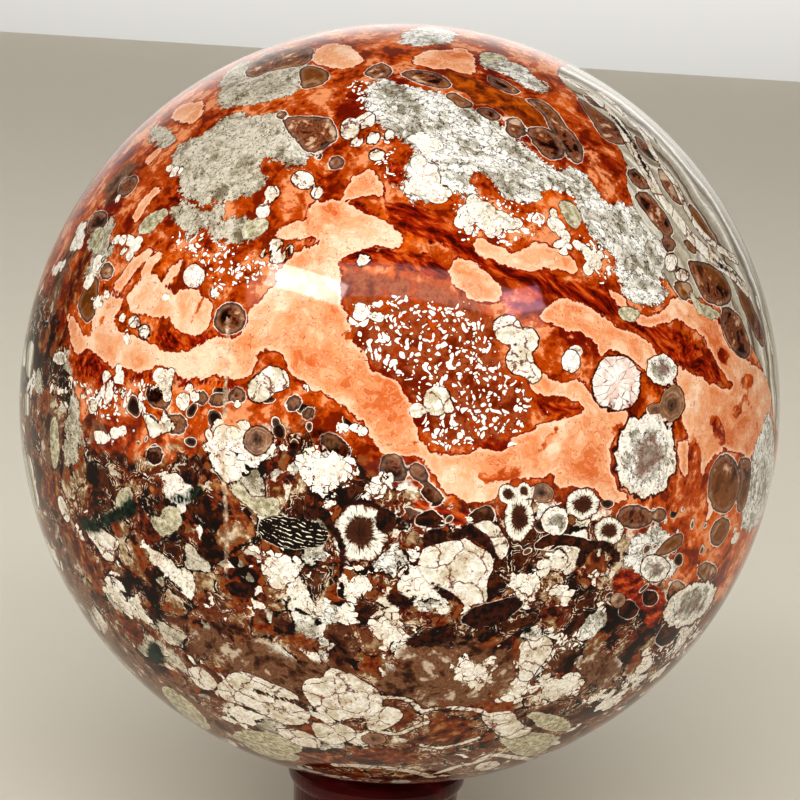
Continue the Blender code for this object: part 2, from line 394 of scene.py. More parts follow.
             (268, 72), (252, 78)],
            [(300, 70), (312, 66), (324, 69), (329, 76), (325, 83), (314, 87), (302, 88)],
            [(283, 118), (300, 116), (322, 117), (332, 121), (337, 132), (334, 142), (326, 148), (314, 153),
             (303, 150), (296, 140), (286, 130)],
            [(401, 74), (410, 70), (428, 71), (443, 76), (451, 84), (446, 89), (430, 86), (415, 82)],
            [(446, 94), (455, 92), (463, 97), (473, 104), (468, 109), (458, 106), (449, 100)],
            [(476, 110), (486, 107), (496, 111), (501, 118), (494, 121), (484, 117)],
            [(526, 100), (535, 99), (548, 104), (560, 116), (567, 127), (576, 137), (583, 150), (582, 160),
             (576, 165), (569, 158), (560, 145), (552, 133), (545, 118), (536, 108)],
            [(526, 130), (538, 127), (550, 130), (558, 140), (564, 152), (560, 159), (550, 160), (540, 152),
             (532, 142)],
            [(488, 76), (498, 78), (510, 84), (520, 92), (512, 94), (500, 89), (491, 84)],
            [(635, 196), (640, 191), (650, 195), (660, 206), (669, 219), (673, 232), (667, 237), (658, 229),
             (648, 217), (640, 206)],
            [(578, 98), (590, 105), (604, 115), (619, 127), (627, 141), (615, 139), (600, 129), (588, 116)],
            [(593, 122), (605, 128), (618, 137), (626, 144), (612, 143), (600, 134)],
            [(634, 136), (642, 140), (652, 150), (659, 163), (650, 159), (640, 149)],
            [(658, 169), (666, 173), (675, 184), (683, 201), (680, 206), (670, 197), (662, 185)],
            [(627, 172), (634, 168), (644, 177), (650, 188), (640, 189), (632, 182)],
            [(688, 203), (697, 211), (707, 226), (717, 243), (712, 245), (700, 229), (690, 213)],
            [(584, 95), (594, 99), (603, 105), (609, 111), (598, 108), (589, 102)],
            [(688, 262), (700, 261), (715, 267), (727, 281), (732, 293), (728, 303), (718, 306), (705, 300),
             (696, 285)],
            [(674, 284), (682, 280), (692, 286), (692, 297), (685, 301), (678, 294)],
            [(722, 308), (732, 309), (742, 320), (750, 345), (748, 357), (738, 356), (728, 342), (722, 325)],
            [(738, 284), (746, 292), (756, 312), (765, 338), (762, 347), (754, 334), (745, 314), (739, 298)],
            [(739, 462), (745, 458), (751, 462), (750, 485), (745, 505), (739, 513), (737, 500), (741, 480)],
            [(710, 541), (713, 525), (722, 517), (730, 522), (727, 535), (718, 546)],
            [(655, 553), (662, 544), (672, 536), (682, 533), (682, 544), (674, 551), (664, 555)],
            [(616, 520), (622, 508), (635, 505), (648, 509), (654, 517), (648, 526), (635, 528), (622, 527)],
            [(378, 470), (381, 459), (390, 454), (400, 457), (407, 468), (405, 480), (395, 483), (385, 479)],
            [(421, 490), (428, 485), (438, 490), (444, 499), (438, 505), (428, 501)],
            [(467, 520), (474, 511), (486, 506), (495, 512), (493, 522), (482, 525)],
            [(534, 547), (545, 537), (560, 534), (578, 537), (592, 543), (585, 549), (565, 546), (548, 550)],
            [(408, 468), (415, 463), (424, 468), (430, 478), (424, 483), (413, 479)],
            [(415, 524), (420, 514), (430, 510), (440, 516), (446, 525), (430, 528)],
            [(462, 622), (470, 610), (485, 604), (500, 600), (514, 597), (524, 602), (515, 612), (500, 623),
             (480, 627)],
            [(214, 322), (216, 312), (224, 304), (234, 302), (242, 308), (246, 318), (243, 328), (232, 335),
             (220, 332)],
            [(88, 231), (90, 218), (98, 211), (108, 214), (106, 225), (97, 231)],
            [(78, 302), (85, 287), (92, 274), (98, 280), (98, 300), (94, 317), (86, 322), (80, 314)],
            [(655, 643), (660, 630), (670, 621), (681, 626), (674, 639), (664, 646)],
            [(364, 74), (372, 66), (384, 63), (392, 70), (388, 77), (376, 78)],
            [(318, 440), (330, 432), (342, 440), (352, 450), (346, 458), (330, 452)],
            [(684, 241), (689, 240), (696, 248), (695, 254), (688, 250)],
            [(662, 238), (672, 238), (676, 246), (669, 253), (663, 247)],
        ],
        [
            (336, 163, 8, 7, 0), (319, 156, 4, 4, 0), (282, 115, 6, 4, 0), (128, 186, 13, 7, -45),
            (515, 128, 9, 11, -30), (724, 484, 16, 30, 5), (707, 572, 10, 10, 0), (660, 515, 7, 7, 0),
            (238, 395, 8, 8, 0), (309, 413, 7, 7, 0), (218, 400, 10, 7, 0),
            (277, 568, 7, 7, 0), (107, 271, 7, 9, 0), (160, 398, 12, 11, 0), (176, 424, 12, 10, 0),
            (155, 455, 9, 9, 0), (345, 590, 9, 10, 0), (294, 404, 8, 9, 40), (202, 398, 6, 8, 0),
            (628, 610, 10, 9, 0), (650, 598, 8, 8, 0), (676, 592, 9, 12, 20),
            # In the belt, past the limb
            (756, 196, 8, 22, -34), (786, 290, 7, 20, -12), (676, 88, 18, 7, 42), (708, 142, 7, 14, -45),
        ],
        [],
    ),
    "striped": ([], [(293, 532, 37, 17, 8)], []),
    "mauve": (
        [
            # Along the left limb
            [(48, 300), (60, 264), (74, 232), (84, 222), (86, 234), (72, 262), (62, 290), (54, 316)],
            [(104, 190), (120, 170), (134, 162), (138, 168), (124, 186), (110, 204)],
            [(228, 655), (240, 642), (262, 640), (278, 652), (300, 660), (322, 662), (335, 672), (325, 690),
             (305, 700), (285, 698), (262, 690), (240, 680), (228, 670)],
            [(378, 690), (384, 675), (396, 668), (410, 676), (425, 690), (440, 700), (430, 706), (405, 700)],
            [(402, 650), (420, 642), (445, 645), (470, 640), (500, 650), (517, 650), (515, 670), (500, 690),
             (480, 702), (455, 706), (425, 700), (405, 680)],
            [(57, 542), (66, 540), (74, 552), (80, 575), (72, 572), (62, 560)],
            [(580, 655), (600, 650), (620, 662), (615, 680), (595, 686), (582, 675)],
            [(190, 640), (205, 628), (225, 640), (222, 655), (205, 656)],
            # Tan strip inside the lower left limb
            [(112, 622), (124, 640), (140, 656), (150, 668), (165, 668), (185, 690), (205, 708), (232, 728),
             (214, 742), (180, 722), (150, 698), (120, 668), (102, 640)],
        ],
        [(99, 435, 8, 13, 0), (52, 440, 10, 32, 0), (84, 598, 8, 18, -25)],
        [],
    ),
    "ochre": (
        [
            [(43, 475), (50, 470), (58, 482), (63, 500), (54, 508), (46, 494)],
            [(118, 614), (128, 618), (142, 632), (145, 643), (136, 644), (124, 630)],
            [(58, 528), (68, 524), (84, 545), (100, 568), (104, 582), (92, 578), (74, 556), (62, 540)],
            [(82, 420), (92, 405), (100, 398), (98, 415), (92, 430), (84, 432)],
            [(80, 256), (90, 252), (91, 262), (84, 280), (74, 300), (64, 318), (60, 310), (66, 290),
             (74, 270)],
            [(226, 486), (236, 495), (250, 520), (255, 534), (245, 530), (230, 510)],
        ],
        [
            (300, 640, 14, 6, 0), (240, 610, 10, 6, 20), (700, 600, 10, 8, 0), (158, 485, 7, 10, 0),
            (214, 496, 6, 13, 0), (76, 444, 10, 6, 30), (52, 488, 8, 18, 10), (320, 760, 30, 8, 5),
            (475, 698, 20, 9, 5), (596, 563, 13, 14, 0), (44, 404, 5, 10, 0), (44, 340, 5, 14, 6),
            (66, 330, 4, 14, 8), (452, 728, 24, 13, 5), (388, 756, 34, 8, 3), (405, 721, 14, 6, -15),
            (525, 762, 16, 5, -8),
        ],
        [],
    ),
    "sage": (
        [
            [(50, 440), (52, 420), (56, 418), (59, 440), (58, 462), (54, 468)],
            [(228, 484), (240, 482), (250, 496), (262, 497), (278, 500), (279, 514), (262, 515), (250, 508),
             (238, 498)],
            [(560, 205), (568, 200), (578, 210), (582, 222), (574, 229), (565, 218)],
            [(139, 228), (145, 218), (156, 210), (165, 209), (167, 215), (160, 222), (150, 232), (142, 234)],
            [(690, 292), (700, 302), (712, 308), (721, 315), (712, 318), (698, 312)],
            [(241, 232), (248, 222), (260, 217), (269, 222), (268, 230), (256, 237), (245, 238)],
            [(479, 56), (488, 52), (500, 54), (508, 60), (496, 62), (484, 62)],
            [(618, 312), (628, 306), (640, 312), (634, 320), (624, 320)],
            [(527, 714), (545, 713), (562, 718), (572, 728), (560, 731), (542, 728)],
            [(498, 735), (515, 731), (532, 732), (552, 735), (560, 738), (548, 748), (530, 756), (512, 752)],
            [(236, 735), (260, 740), (285, 750), (300, 758), (280, 760), (252, 750)],
            [(150, 514), (160, 518), (165, 508), (172, 505), (182, 512), (180, 525), (172, 534), (162, 536),
             (154, 528)],
        ],
        [(124, 500, 8, 13, 20), (98, 240, 6, 14, 10), (268, 742, 36, 9, 12), (186, 708, 32, 7, 42)],
        [],
    ),
    "green": (
        [
            [(76, 512), (84, 518), (96, 519), (110, 512), (122, 504), (130, 498), (137, 504), (134, 514),
             (120, 520), (108, 527), (96, 533), (84, 530)],
        ],
        [(156, 654, 8, 12, -30), (318, 411, 4, 3, 0)],
        [(0.65, [(170, 499), (184, 499), (199, 491)])],
    ),
    "gap": (
        [
            # Dark arcs inside the largest ring, and the dark lens under it
            [(424, 547), (423, 537), (431, 531), (444, 529), (449, 533), (448, 540), (440, 542), (432, 545)],
            [(449, 538), (450, 530), (461, 528), (470, 524), (477, 529), (485, 535), (491, 542), (494, 551),
             (487, 549), (479, 544), (472, 540), (465, 537), (457, 540)],
            [(462, 621), (468, 612), (478, 607), (492, 604), (505, 598), (515, 596), (521, 601), (518, 610),
             (508, 620), (492, 627), (474, 628)],
            [(432, 583), (440, 586), (450, 592), (457, 599), (450, 600), (442, 597), (436, 592)],
        ],
        [(155, 396, 8, 7, 0), (150, 456, 10, 5, 0), (320, 512, 12, 6, 30), (385, 520, 12, 14, 0),
         (400, 600, 14, 8, 20), (300, 515, 20, 5, 10), (430, 640, 26, 7, -5), (240, 590, 16, 8, 10)],
        [
            (0.5, [(325, 520), (338, 538), (344, 558), (338, 574), (331, 582)]),
            (0.7, [(580, 562), (586, 550), (598, 545), (610, 549), (616, 558)]),
            (0.35, [(612, 116), (630, 138), (640, 158), (650, 178)]),
            (0.35, [(630, 116), (648, 130), (662, 150)]),
            (0.35, [(713, 259), (726, 269), (740, 277)]),
        ],
    ),
    "seam": (
        [],
        [],
        [(0.24, [(227, 318), (228, 345), (226, 380), (224, 420), (222, 450), (225, 500), (227, 540),
                 (226, 580)])],
    ),
    "flecks": (
        [
            [(350, 300), (372, 297), (400, 292), (440, 300), (470, 305), (490, 315), (495, 345), (510, 372),
             (530, 385), (534, 400), (532, 425), (515, 445), (490, 440), (470, 452), (448, 455), (430, 448),
             (420, 430), (415, 410), (410, 395), (395, 380), (372, 368), (362, 350), (352, 332)],
            [(172, 232), (200, 228), (240, 245), (262, 255), (290, 260), (285, 272), (262, 285), (245, 290),
             (225, 290), (212, 300), (205, 280), (190, 262), (175, 255)],
            [(345, 85), (360, 75), (372, 90), (372, 110), (385, 130), (400, 150), (402, 180), (385, 190),
             (378, 175), (368, 160), (385, 150), (375, 140), (352, 105)],
            [(450, 200), (470, 180), (490, 190), (520, 205), (545, 205), (560, 215), (552, 230), (535, 238),
             (518, 250), (520, 260), (505, 252), (480, 240), (462, 246), (455, 225)],
            [(78, 380), (100, 382), (120, 380), (150, 378), (160, 392), (140, 412), (110, 424), (88, 414)],
            [(580, 230), (600, 240), (612, 258), (618, 280), (600, 285), (585, 262)],
        ],
        [(548, 411, 9, 5, 20), (470, 560, 20, 8, 0), (560, 640, 30, 14, 0), (680, 640, 30, 16, -40)],
        [],
    ),
    "froth": (
        [
            [(120, 392), (160, 385), (200, 382), (250, 385), (300, 398), (345, 412), (375, 442), (402, 468),
             (400, 520), (370, 500), (330, 450), (280, 440), (230, 440), (180, 450), (130, 440)],
            [(600, 500), (640, 505), (680, 510), (720, 540), (715, 580), (690, 620), (650, 640), (610, 610),
             (600, 570), (590, 540)],
            [(400, 480), (440, 505), (500, 505), (560, 495), (600, 520), (590, 560), (540, 560), (470, 535),
             (410, 530)],
        ],
        [],
        [],
    ),
}

# A coin is felt out to COIN_REACH of its radius, and NO_COIN stands for a place that is near none
COIN_REACH = 1.6
NO_COIN = 2.0
# Round coin markings: x, y, half width, half height, tilt in degrees, kind
RING, GEODE, WHITE_CELL, EYE = range(4)
COINS = [
    (616.5, 383, 25, 28, 0, WHITE_CELL), (662, 370, 15.5, 15.5, 0, GEODE), (672, 404, 13, 19, 10, EYE),
    (655, 410, 9, 7, 0, EYE), (646, 456, 31, 42, 5, GEODE), (583, 504, 16, 16, 0, RING),
    (609, 531, 15, 14, 0, RING), (555, 521, 14, 15, 0, GEODE), (519, 518, 15, 24, 0, RING),
    (508, 494, 10, 10, 0, RING), (524, 491, 8, 9, 0, RING), (543, 493, 12, 10, 0, EYE),
    (360, 533, 28, 29, 0, RING), (258, 440, 15, 15, 0, EYE),
    (655, 568, 15, 14, 0, GEODE), (690, 604, 31, 17, -38, GEODE), (618, 600, 8, 8, 0, EYE),
    (571, 361, 10, 12, 0, WHITE_CELL), (194, 276, 11, 12, 0, WHITE_CELL), (60, 358, 8, 7, 0, GEODE),
    (374, 739, 13, 6, 5, EYE),
]

# On the sides that the photograph doesn't show: how many of each, and their radii in millimetres
HIDDEN_MARKINGS = {
    "peach": (16, 5.0, 15.0), "rust_in_peach": (14, 0.8, 2.2), "deep": (10, 3.0, 8.0),
    "amber": (4, 3.0, 6.0), "crust": (15, 4.0, 12.0), "white": (46, 1.2, 4.5), "lens": (60, 1.0, 4.0),
    "mauve": (8, 4.0, 9.0), "ochre": (8, 2.0, 5.0), "sage": (12, 1.5, 4.0), "green": (4, 1.0, 2.0),
    "belt": (6, 4.0, 9.0),
    "flecks": (12, 4.0, 11.0), "froth": (9, 4.0, 11.0), "gap": (10, 1.0, 3.0),
}
HIDDEN_ABOVE = {"peach", "rust_in_peach", "deep", "amber", "crust"}
HIDDEN_BELOW = {"mauve", "ochre", "green", "froth"}
HIDDEN_COINS = 40
HIDDEN_COIN_RADII = (1.4, 4.6)
# They start this far round the limb
HIDDEN_MARGIN = math.radians(6)
HIDDEN_SEED = 11


def linear(code):
    """An sRGB hex colour as the linear RGBA that a shader takes."""
    channels = [int(code[i : i + 2], 16) / 255 for i in (1, 3, 5)]
    return [c / 12.92 if c <= 0.04045 else ((c + 0.055) / 1.055) ** 2.4 for c in channels] + [1.0]


def unit(vectors):
    """Vectors of the same directions and length 1."""
    return vectors / np.linalg.norm(vectors, axis=-1, keepdims=True)


def photo_to_ball(pixels):
    """Directions from the ball's centre to photo pixels. Past its outline they go on round the limb."""
    across, down = (np.asarray(pixels, float) - OUTLINE_CENTRE).T
    right = across * math.cos(VIEW_ROLL) + down * math.sin(VIEW_ROLL)
    up = across * math.sin(VIEW_ROLL) - down * math.cos(VIEW_ROLL)
    out = np.hypot(right, up)
    ray = np.arctan(np.minimum(out, OUTLINE_RADIUS) / LENS_PIXELS)
    angle = np.arcsin(np.minimum(VIEW_DISTANCE * np.sin(ray), 1.0)) - ray
    angle += np.maximum(out / OUTLINE_RADIUS - 1, 0) * math.pi / 2
    sideways = (right[:, None] * VIEW_RIGHT + up[:, None] * VIEW_UP) / np.maximum(out, TINY)[:, None]
    return np.cos(angle)[:, None] * TO_CAMERA + np.sin(angle)[:, None] * sideways


def east_and_north(place):
    """Two directions along the skin at a place, square to each other."""
    east = unit(np.cross(NEARLY_UP, place))
    return east, np.cross(place, east)


def lay_flat(directions, centre):
    """The ball's skin laid flat round one of its points, in millimetres."""
    east, north = east_and_north(centre)
    flat = np.stack([directions @ east, directions @ north], axis=1)
    out = np.hypot(flat[:, 0], flat[:, 1])
    arc = np.arctan2(out, directions @ centre) * BALL_MM
    return flat * (arc / np.maximum(out, TINY))[:, None]


def turned(x, y, angle):
    """Flat points turned about the origin."""
    cos, sin = math.cos(angle), math.sin(angle)
    return np.stack([x * cos - y * sin, x * sin + y * cos], axis=1)


def round_off(points, closed=True):
    """A smooth curve through the given points."""
    points = np.asarray(points, float)
    if closed:
        before, after, last = np.roll(points, 1, 0), np.roll(points, -1, 0), np.roll(points, -2, 0)
    else:
        padded = np.vstack([2 * points[0] - points[1], points, 2 * points[-1] - points[-2]])
        before, points, after, last = padded[:-3], padded[1:-2], padded[2:-1], padded[3:]
    steps = []
    for i in range(CURVE_STEPS):
        t = i / CURVE_STEPS
        bend = 2 * before - 5 * points + 4 * after - last
        twist = 3 * (points - after) + last - before
        steps.append(points + 0.5 * t * ((after - before) + t * (bend + t * twist)))
    curve = np.stack(steps, axis=1).reshape(-1, points.shape[1])
    return curve if closed else np.vstack([curve, padded[-2]])


def oval(x, y, half_width, half_height, tilt):
    """An oval's outline in the photograph."""
    angles = np.arange(OVAL_POINTS) * math.tau / OVAL_POINTS
    return turned(half_width * np.cos(angles), half_height * np.sin(angles), math.radians(tilt)) + (x, y)


def depth_in(points, path, closed, half_width):
    """How far points lie inside a closed outline or a stroke; negative outside."""
    ends = np.roll(path, -1, 0) if closed else path[1:]
    nearest = np.full(len(points), np.inf)
    inside = np.zeros(len(points), bool)
    for start, end in zip(path, ends):
        edge = end - start
        offset = points - start
        along = np.clip(offset @ edge / max(edge @ edge, TINY), 0, 1)
        gap = offset - along[:, None] * edge
        nearest = np.minimum(nearest, gap[:, 0] ** 2 + gap[:, 1] ** 2)
        if closed and start[1] != end[1]:
            crosses = (start[1] > points[:, 1]) != (end[1] > points[:, 1])
            at = start[0] + (points[:, 1] - start[1]) * edge[0] / edge[1]
            inside ^= crosses & (points[:, 0] < at)
    nearest = np.sqrt(nearest)
    return np.where(inside, nearest, -nearest) if closed else half_width - nearest


def ball_path(directions, skin, depth, closed=True, half_width=0.0):
    """Adds one outline or stroke to a family's depth, in millimetres."""
    centre = unit(directions.mean(0))
    spread = np.arccos(np.clip((directions @ centre).min(), -1, 1)) + REACH / BALL_MM
    near = skin @ centre > math.cos(min(spread, math.pi))
    flat = lay_flat(skin[near], centre)
    found = depth_in(flat, lay_flat(directions, centre), closed, half_width)
    depth[near] = np.maximum(depth[near], found)


def azimuth_and_height(directions):
    """Degrees round from the front, and degrees up."""
    azimuth = np.degrees(np.arctan2(directions[:, 0], -directions[:, 1]))
    return azimuth, np.degrees(np.arcsin(np.clip(directions[:, 2], -1, 1)))


def depth_below_rust(skin):
    """How far a point lies below the rust's lower edge, in millimetres."""
    around, height = azimuth_and_height(photo_to_ball(RUST_EDGE))
    behind = np.array(RUST_EDGE_BEHIND, float)
    around = np.concatenate([around, behind[:, 0]])
    height = np.concatenate([height, behind[:, 1]])
    order = np.argsort(around % 360)
    azimuth, own_height = azimuth_and_height(skin)
    edge = np.interp(azimuth % 360, (around % 360)[order], height[order], period=360)
    return np.radians(edge - own_height) * BALL_MM


def hidden_places(rng, count, below):
    """Random directions on the sides that the photograph doesn't show, above or below the rust's edge."""
    found = []
    while len(found) < count:
        place = unit(rng.normal(size=(1, 3)))
        turned_away = place[0] @ TO_CAMERA < math.cos(LIMB_ANGLE + HIDDEN_MARGIN)
        right_zone = below is None or (depth_below_rust(place)[0] > 0) == below
        if turned_away and right_zone:
            found.append(place[0])
    return found


def around_place(place, flat):
    """Directions for points given in millimetres on the skin laid flat round a place."""
    east, north = east_and_north(place)
    out = np.maximum(np.hypot(flat[:, 0], flat[:, 1]), TINY)
    angle = (out / BALL_MM)[:, None]
    sideways = (flat[:, :1] * east + flat[:, 1:] * north) / out[:, None]
    return np.cos(angle) * place + np.sin(angle) * sideways


def lobed_outline(rng, place, radius):
    """A lumpy closed outline of about the given radius in millimetres."""
    angles = np.arange(LOBED_POINTS) * math.tau / LOBED_POINTS
    r = np.full(LOBED_POINTS, radius)
    for lobes in (2, 3, 5, 7):
        bulge = radius * rng.uniform(0, 0.5 / math.sqrt(lobes))
        r += bulge * np.cos(lobes * angles + rng.uniform(0, math.tau))
    stretch = rng.uniform(0.55, 1.0)
    turn = rng.uniform(0, math.pi)
    return around_place(place, turned(r * np.cos(angles), r * stretch * np.sin(angles), turn))


def marking_depths(skin):
    """The depth inside every family of markings, at every point of the skin."""
    rng = np.random.default_rng(HIDDEN_SEED)
    depths = {"dark": depth_below_rust(skin)}
    for family, (outlines, ovals, strokes) in LAYOUT.items():
        depth = np.full(len(skin), -REACH)
        for outline in outlines:
            ball_path(photo_to_ball(round_off(outline)), skin, depth)
        for shape in ovals:
            ball_path(photo_to_ball(oval(*shape)), skin, depth)
        for half_width, points in strokes:
            path = photo_to_ball(round_off(points, closed=False))
            ball_path(path, skin, depth, closed=False, half_width=half_width)
        if family in HIDDEN_MARKINGS:
            count, smallest, largest = HIDDEN_MARKINGS[family]
            below = False if family in HIDDEN_ABOVE else True if family in HIDDEN_BELOW else None
            for place in hidden_places(rng, count, below):
                radius = smallest * (largest / smallest) ** rng.uniform()
                ball_path(lobed_outline(rng, place, radius), skin, depth)
        depths[family] = depth
    return depths


def coin_faces(skin):
    """For the nearest coin at each point: the distance from its middle, 1 at its rim, and its face's
    own coordinates with its kind."""
    rng = np.random.default_rng(HIDDEN_SEED + 1)
    coins = []
    for *shape, kind in COINS:
        outline = photo_to_ball(oval(*shape))
        place = unit(outline.mean(0))
        right, top, left, bottom = lay_flat(outline, place)[:: OVAL_POINTS // 4]
        coins.append((place, (right - left) / 2, (top - bottom) / 2, kind))
    for place in hidden_places(rng, HIDDEN_COINS, None):
        radius = rng.uniform(*HIDDEN_COIN_RADII)
        turn = rng.uniform(0, math.tau)
        axis = radius * np.array((math.cos(turn), math.sin(turn)))
        across = np.array((-axis[1], axis[0])) * rng.uniform(0.75, 1.0)
        coins.append((place, axis, across, int(rng.integers(0, 4))))
    rim = np.full(len(skin), NO_COIN)
    face = np.full((len(skin), 3), (NO_COIN, 0.0, 0.0))
    for place, axis, across, kind in coins:
        reach = COIN_REACH * max(np.linalg.norm(axis), np.linalg.norm(across)) / BALL_MM
        near = np.flatnonzero(skin @ place > math.cos(reach))
        own = lay_flat(skin[near], place) @ np.linalg.inv(np.stack([axis, across]))
        out = np.hypot(own[:, 0], own[:, 1])
        closer = out < rim[near]
        rim[near[closer]] = out[closer]
        face[near[closer]] = np.column_stack([own[closer], np.full(closer.sum(), kind)])
    return rim, face


def folded_square(cells):
    """Unit directions on a square grid folded round a ball, every cell with the same area."""
    side = np.linspace(-1.0, 1.0, cells + 1)
    u, v = np.meshgrid(side, side, indexing="ij")
    fold = 1.0 - np.abs(u) - np.abs(v)
    r = 1.0 - np.abs(fold)
    turn = ((np.abs(v) - np.abs(u)) / np.maximum(r, 1e-9) + 1.0) * math.pi / 4
    flat = r * np.sqrt(2.0 - r * r)
    x = np.copysign(np.cos(turn), u) * flat
    y = np.copysign(np.sin(turn), v) * flat
    z = np.copysign(1.0 - r * r, fold)
    return np.stack([x, y, z], axis=-1)


def ball_mesh(name):
    """The ball's skin, closed, with the square that it was folded from as its UV map."""
    cells = BALL_CELLS
    grid = folded_square(cells)
    index = np.arange((cells + 1) ** 2).reshape(cells + 1, cells + 1)
    for line in (index[:, 0], index[:, -1], index[0, :], index[-1, :]):
        line[:] = np.minimum(line, line[::-1])
    index[0, 0] = index[0, -1] = index[-1, 0] = index[-1, -1] = 0
    kept, joined = np.unique(index, return_inverse=True)
    joined = joined.reshape(index.shape)
    skin = grid.reshape(-1, 3)[kept]
    quads = np.stack([joined[:-1, :-1], joined[1:, :-1], joined[1:, 1:], joined[:-1, 1:]], axis=-1)
    mesh = bpy.data.meshes.new(name)
    mesh.from_pydata(BALL_CENTRE + BALL_RADIUS * skin, [], quads.reshape(-1, 4))
    mesh.shade_smooth()
    side = np.linspace(0.0, 1.0, cells + 1)
    u, v = np.meshgrid(side, side, indexing="ij")
    square = np.stack([u, v], axis=-1)
    corners = np.stack([square[:-1, :-1], square[1:, :-1], square[1:, 1:], square[:-1, 1:]], axis=2)
    mesh.uv_layers.new(name="OFBake").data.foreach_set("uv", corners.astype(np.float32).ravel())
    return mesh, skin


def add(tree, kind, inputs=(), **settings):
    """Adds one node and hands back its first output. Inputs go by name, or in order as a list, and a
    colour may be given as its hex code. A Mix blends colours unless its data type is given."""
    node = tree.nodes.new("ShaderNode" + kind)
    if kind == "Mix":
        settings = {"data_type": "RGBA"} | settings
    for name, value in settings.items():
        if name == "stops":
            ramp = node.color_ramp
            while len(ramp.elements) < len(value):
                ramp.elements.new(1.0)
            for element, (position, colour) in zip(ramp.elements, value):
                element.position = position
                element.color = linear(colour) if isinstance(colour, str) else colour
        else:
            setattr(node, name, value)
    if not isinstance(inputs, dict):
        used = [socket.identifier for socket in node.inputs if socket.enabled]
        inputs = dict(zip(used, inputs))
    sockets = {socket.identifier: socket for socket in node.inputs}
    for name, value in inputs.items():
        socket = sockets.get(name) or node.inputs[name]
        if isinstance(value, bpy.types.NodeSocket):
            tree.links.new(value, socket)
        else:
            socket.default_value = linear(value) if isinstance(value, str) else value
    return next(socket for socket in node.outputs if socket.enabled)


def blank_material(name):
    """A material with only a Principled shader and an output."""
    material = bpy.data.materials.new(name)
    material.use_nodes = True
    return material, material.node_tree, material.node_tree.nodes["Principled BSDF"]


# Cloudiness of the stone at several sizes: millimetres to one lump, detail, roughness
CLOUDS = {
    "cloud": (13.0, 3.0, 0.5),
    "patch": (5.0, 3.0, 0.6),
    "curdle": (1.9, 3.0, 0.6),
    "fray": (0.9, 2.0, 0.65),
    "grain": (0.5, 2.0, 0.6),
}
# Lumps larger than this are carried along by the slow drift that bends the whole pattern
DRIFTING_LUMP = 1.5
DRIFT_LUMP = 9.0
DRIFT_REACH = 5.0
# Sizes in millimetres: lobes of the white patches, broken blocks and chips, the belt's shells,
# bubbles of froth, and pits in the crust
LOBE = 2.2
BLOCK = 4.0
CHIP = 1.6
BELT_SHELL = 2.6
BUBBLE = 3.0
PIT = 0.8
# The crust takes painted shade and closer grain left of the first place across the ball, and neither right
# of the second
LEFT_SHADE_FROM_TO = (-20.0, -10.0)
# Which picture a coin gets goes by its kind: above each of these numbers, the next one
COIN_STEPS = (0.5, 1.5, 2.5)
CHALCEDONY_IOR = 1.54
LACQUER_IOR = 1.5


class Edge(typing.NamedTuple):
    """How one family meets its neighbours. A lump noise and a fine noise push its edge about, by up to
    their reach in millimetres, and it fades over twice its softness. A line may be drawn round it and
    a rim inside it."""

    lump: str
    lump_reach: float
    fine: str
    fine_reach: float
    soft: float
    line: float = 0.0
    line_colour: str = ""
    rim: float = 0.0
    rim_colour: str = ""


# In the order in which they are laid one over another
EDGES = {
    "ochre": Edge("curdle", 2.6, "grain", 0.9, 0.20),
    "mauve": Edge("curdle", 2.6, "grain", 0.7, 0.70),
    "deep": Edge("curdle", 1.6, "grain", 0.7, 0.25),
    "brick": Edge("curdle", 1.6, "grain", 0.7, 0.40),
    "amber": Edge("curdle", 0.5, "grain", 0.2, 0.15, 0.12, "#E2A07A", 0.3, "#5A1E06"),
    "peach": Edge("curdle", 1.1, "fray", 0.25, 0.07, 0.26, "#8A2004", 0.6, "#F8CFB2"),
    "rust_in_peach": Edge("curdle", 0.8, "fray", 0.6, 0.10),
    "crust": Edge("curdle", 1.6, "grain", 1.1, 0.06, 0.16, "#4A1C0C"),
    "belt": Edge("curdle", 0.9, "grain", 0.2, 0.06, 0.16, "#4A1C0C"),
    "lens": Edge("curdle", 0.5, "grain", 0.1, 0.05, 0.15, "#F4E6DA", 0.45, "#240A04"),
    "striped": Edge("curdle", 0.6, "grain", 0.2, 0.06, 0.14, "#D8D0BC"),
    "sage": Edge("curdle", 0.6, "grain", 0.3, 0.08, 0.16, "#6A4028", 0.25, "#DAD6C2"),
    "white": Edge("lobes", 1.2, "grain", 0.18, 0.04, 0.16, "#451608"),
    "shell": Edge("curdle", 0.4, "grain", 0.15, 0.05, 0.20, "#451608"),
    "gap": Edge("curdle", 0.7, "grain", 0.5, 0.12),
    "green": Edge("curdle", 0.9, "grain", 0.6, 0.35),
    "seam": Edge("curdle", 0.4, "grain", 0.3, 0.20),
}

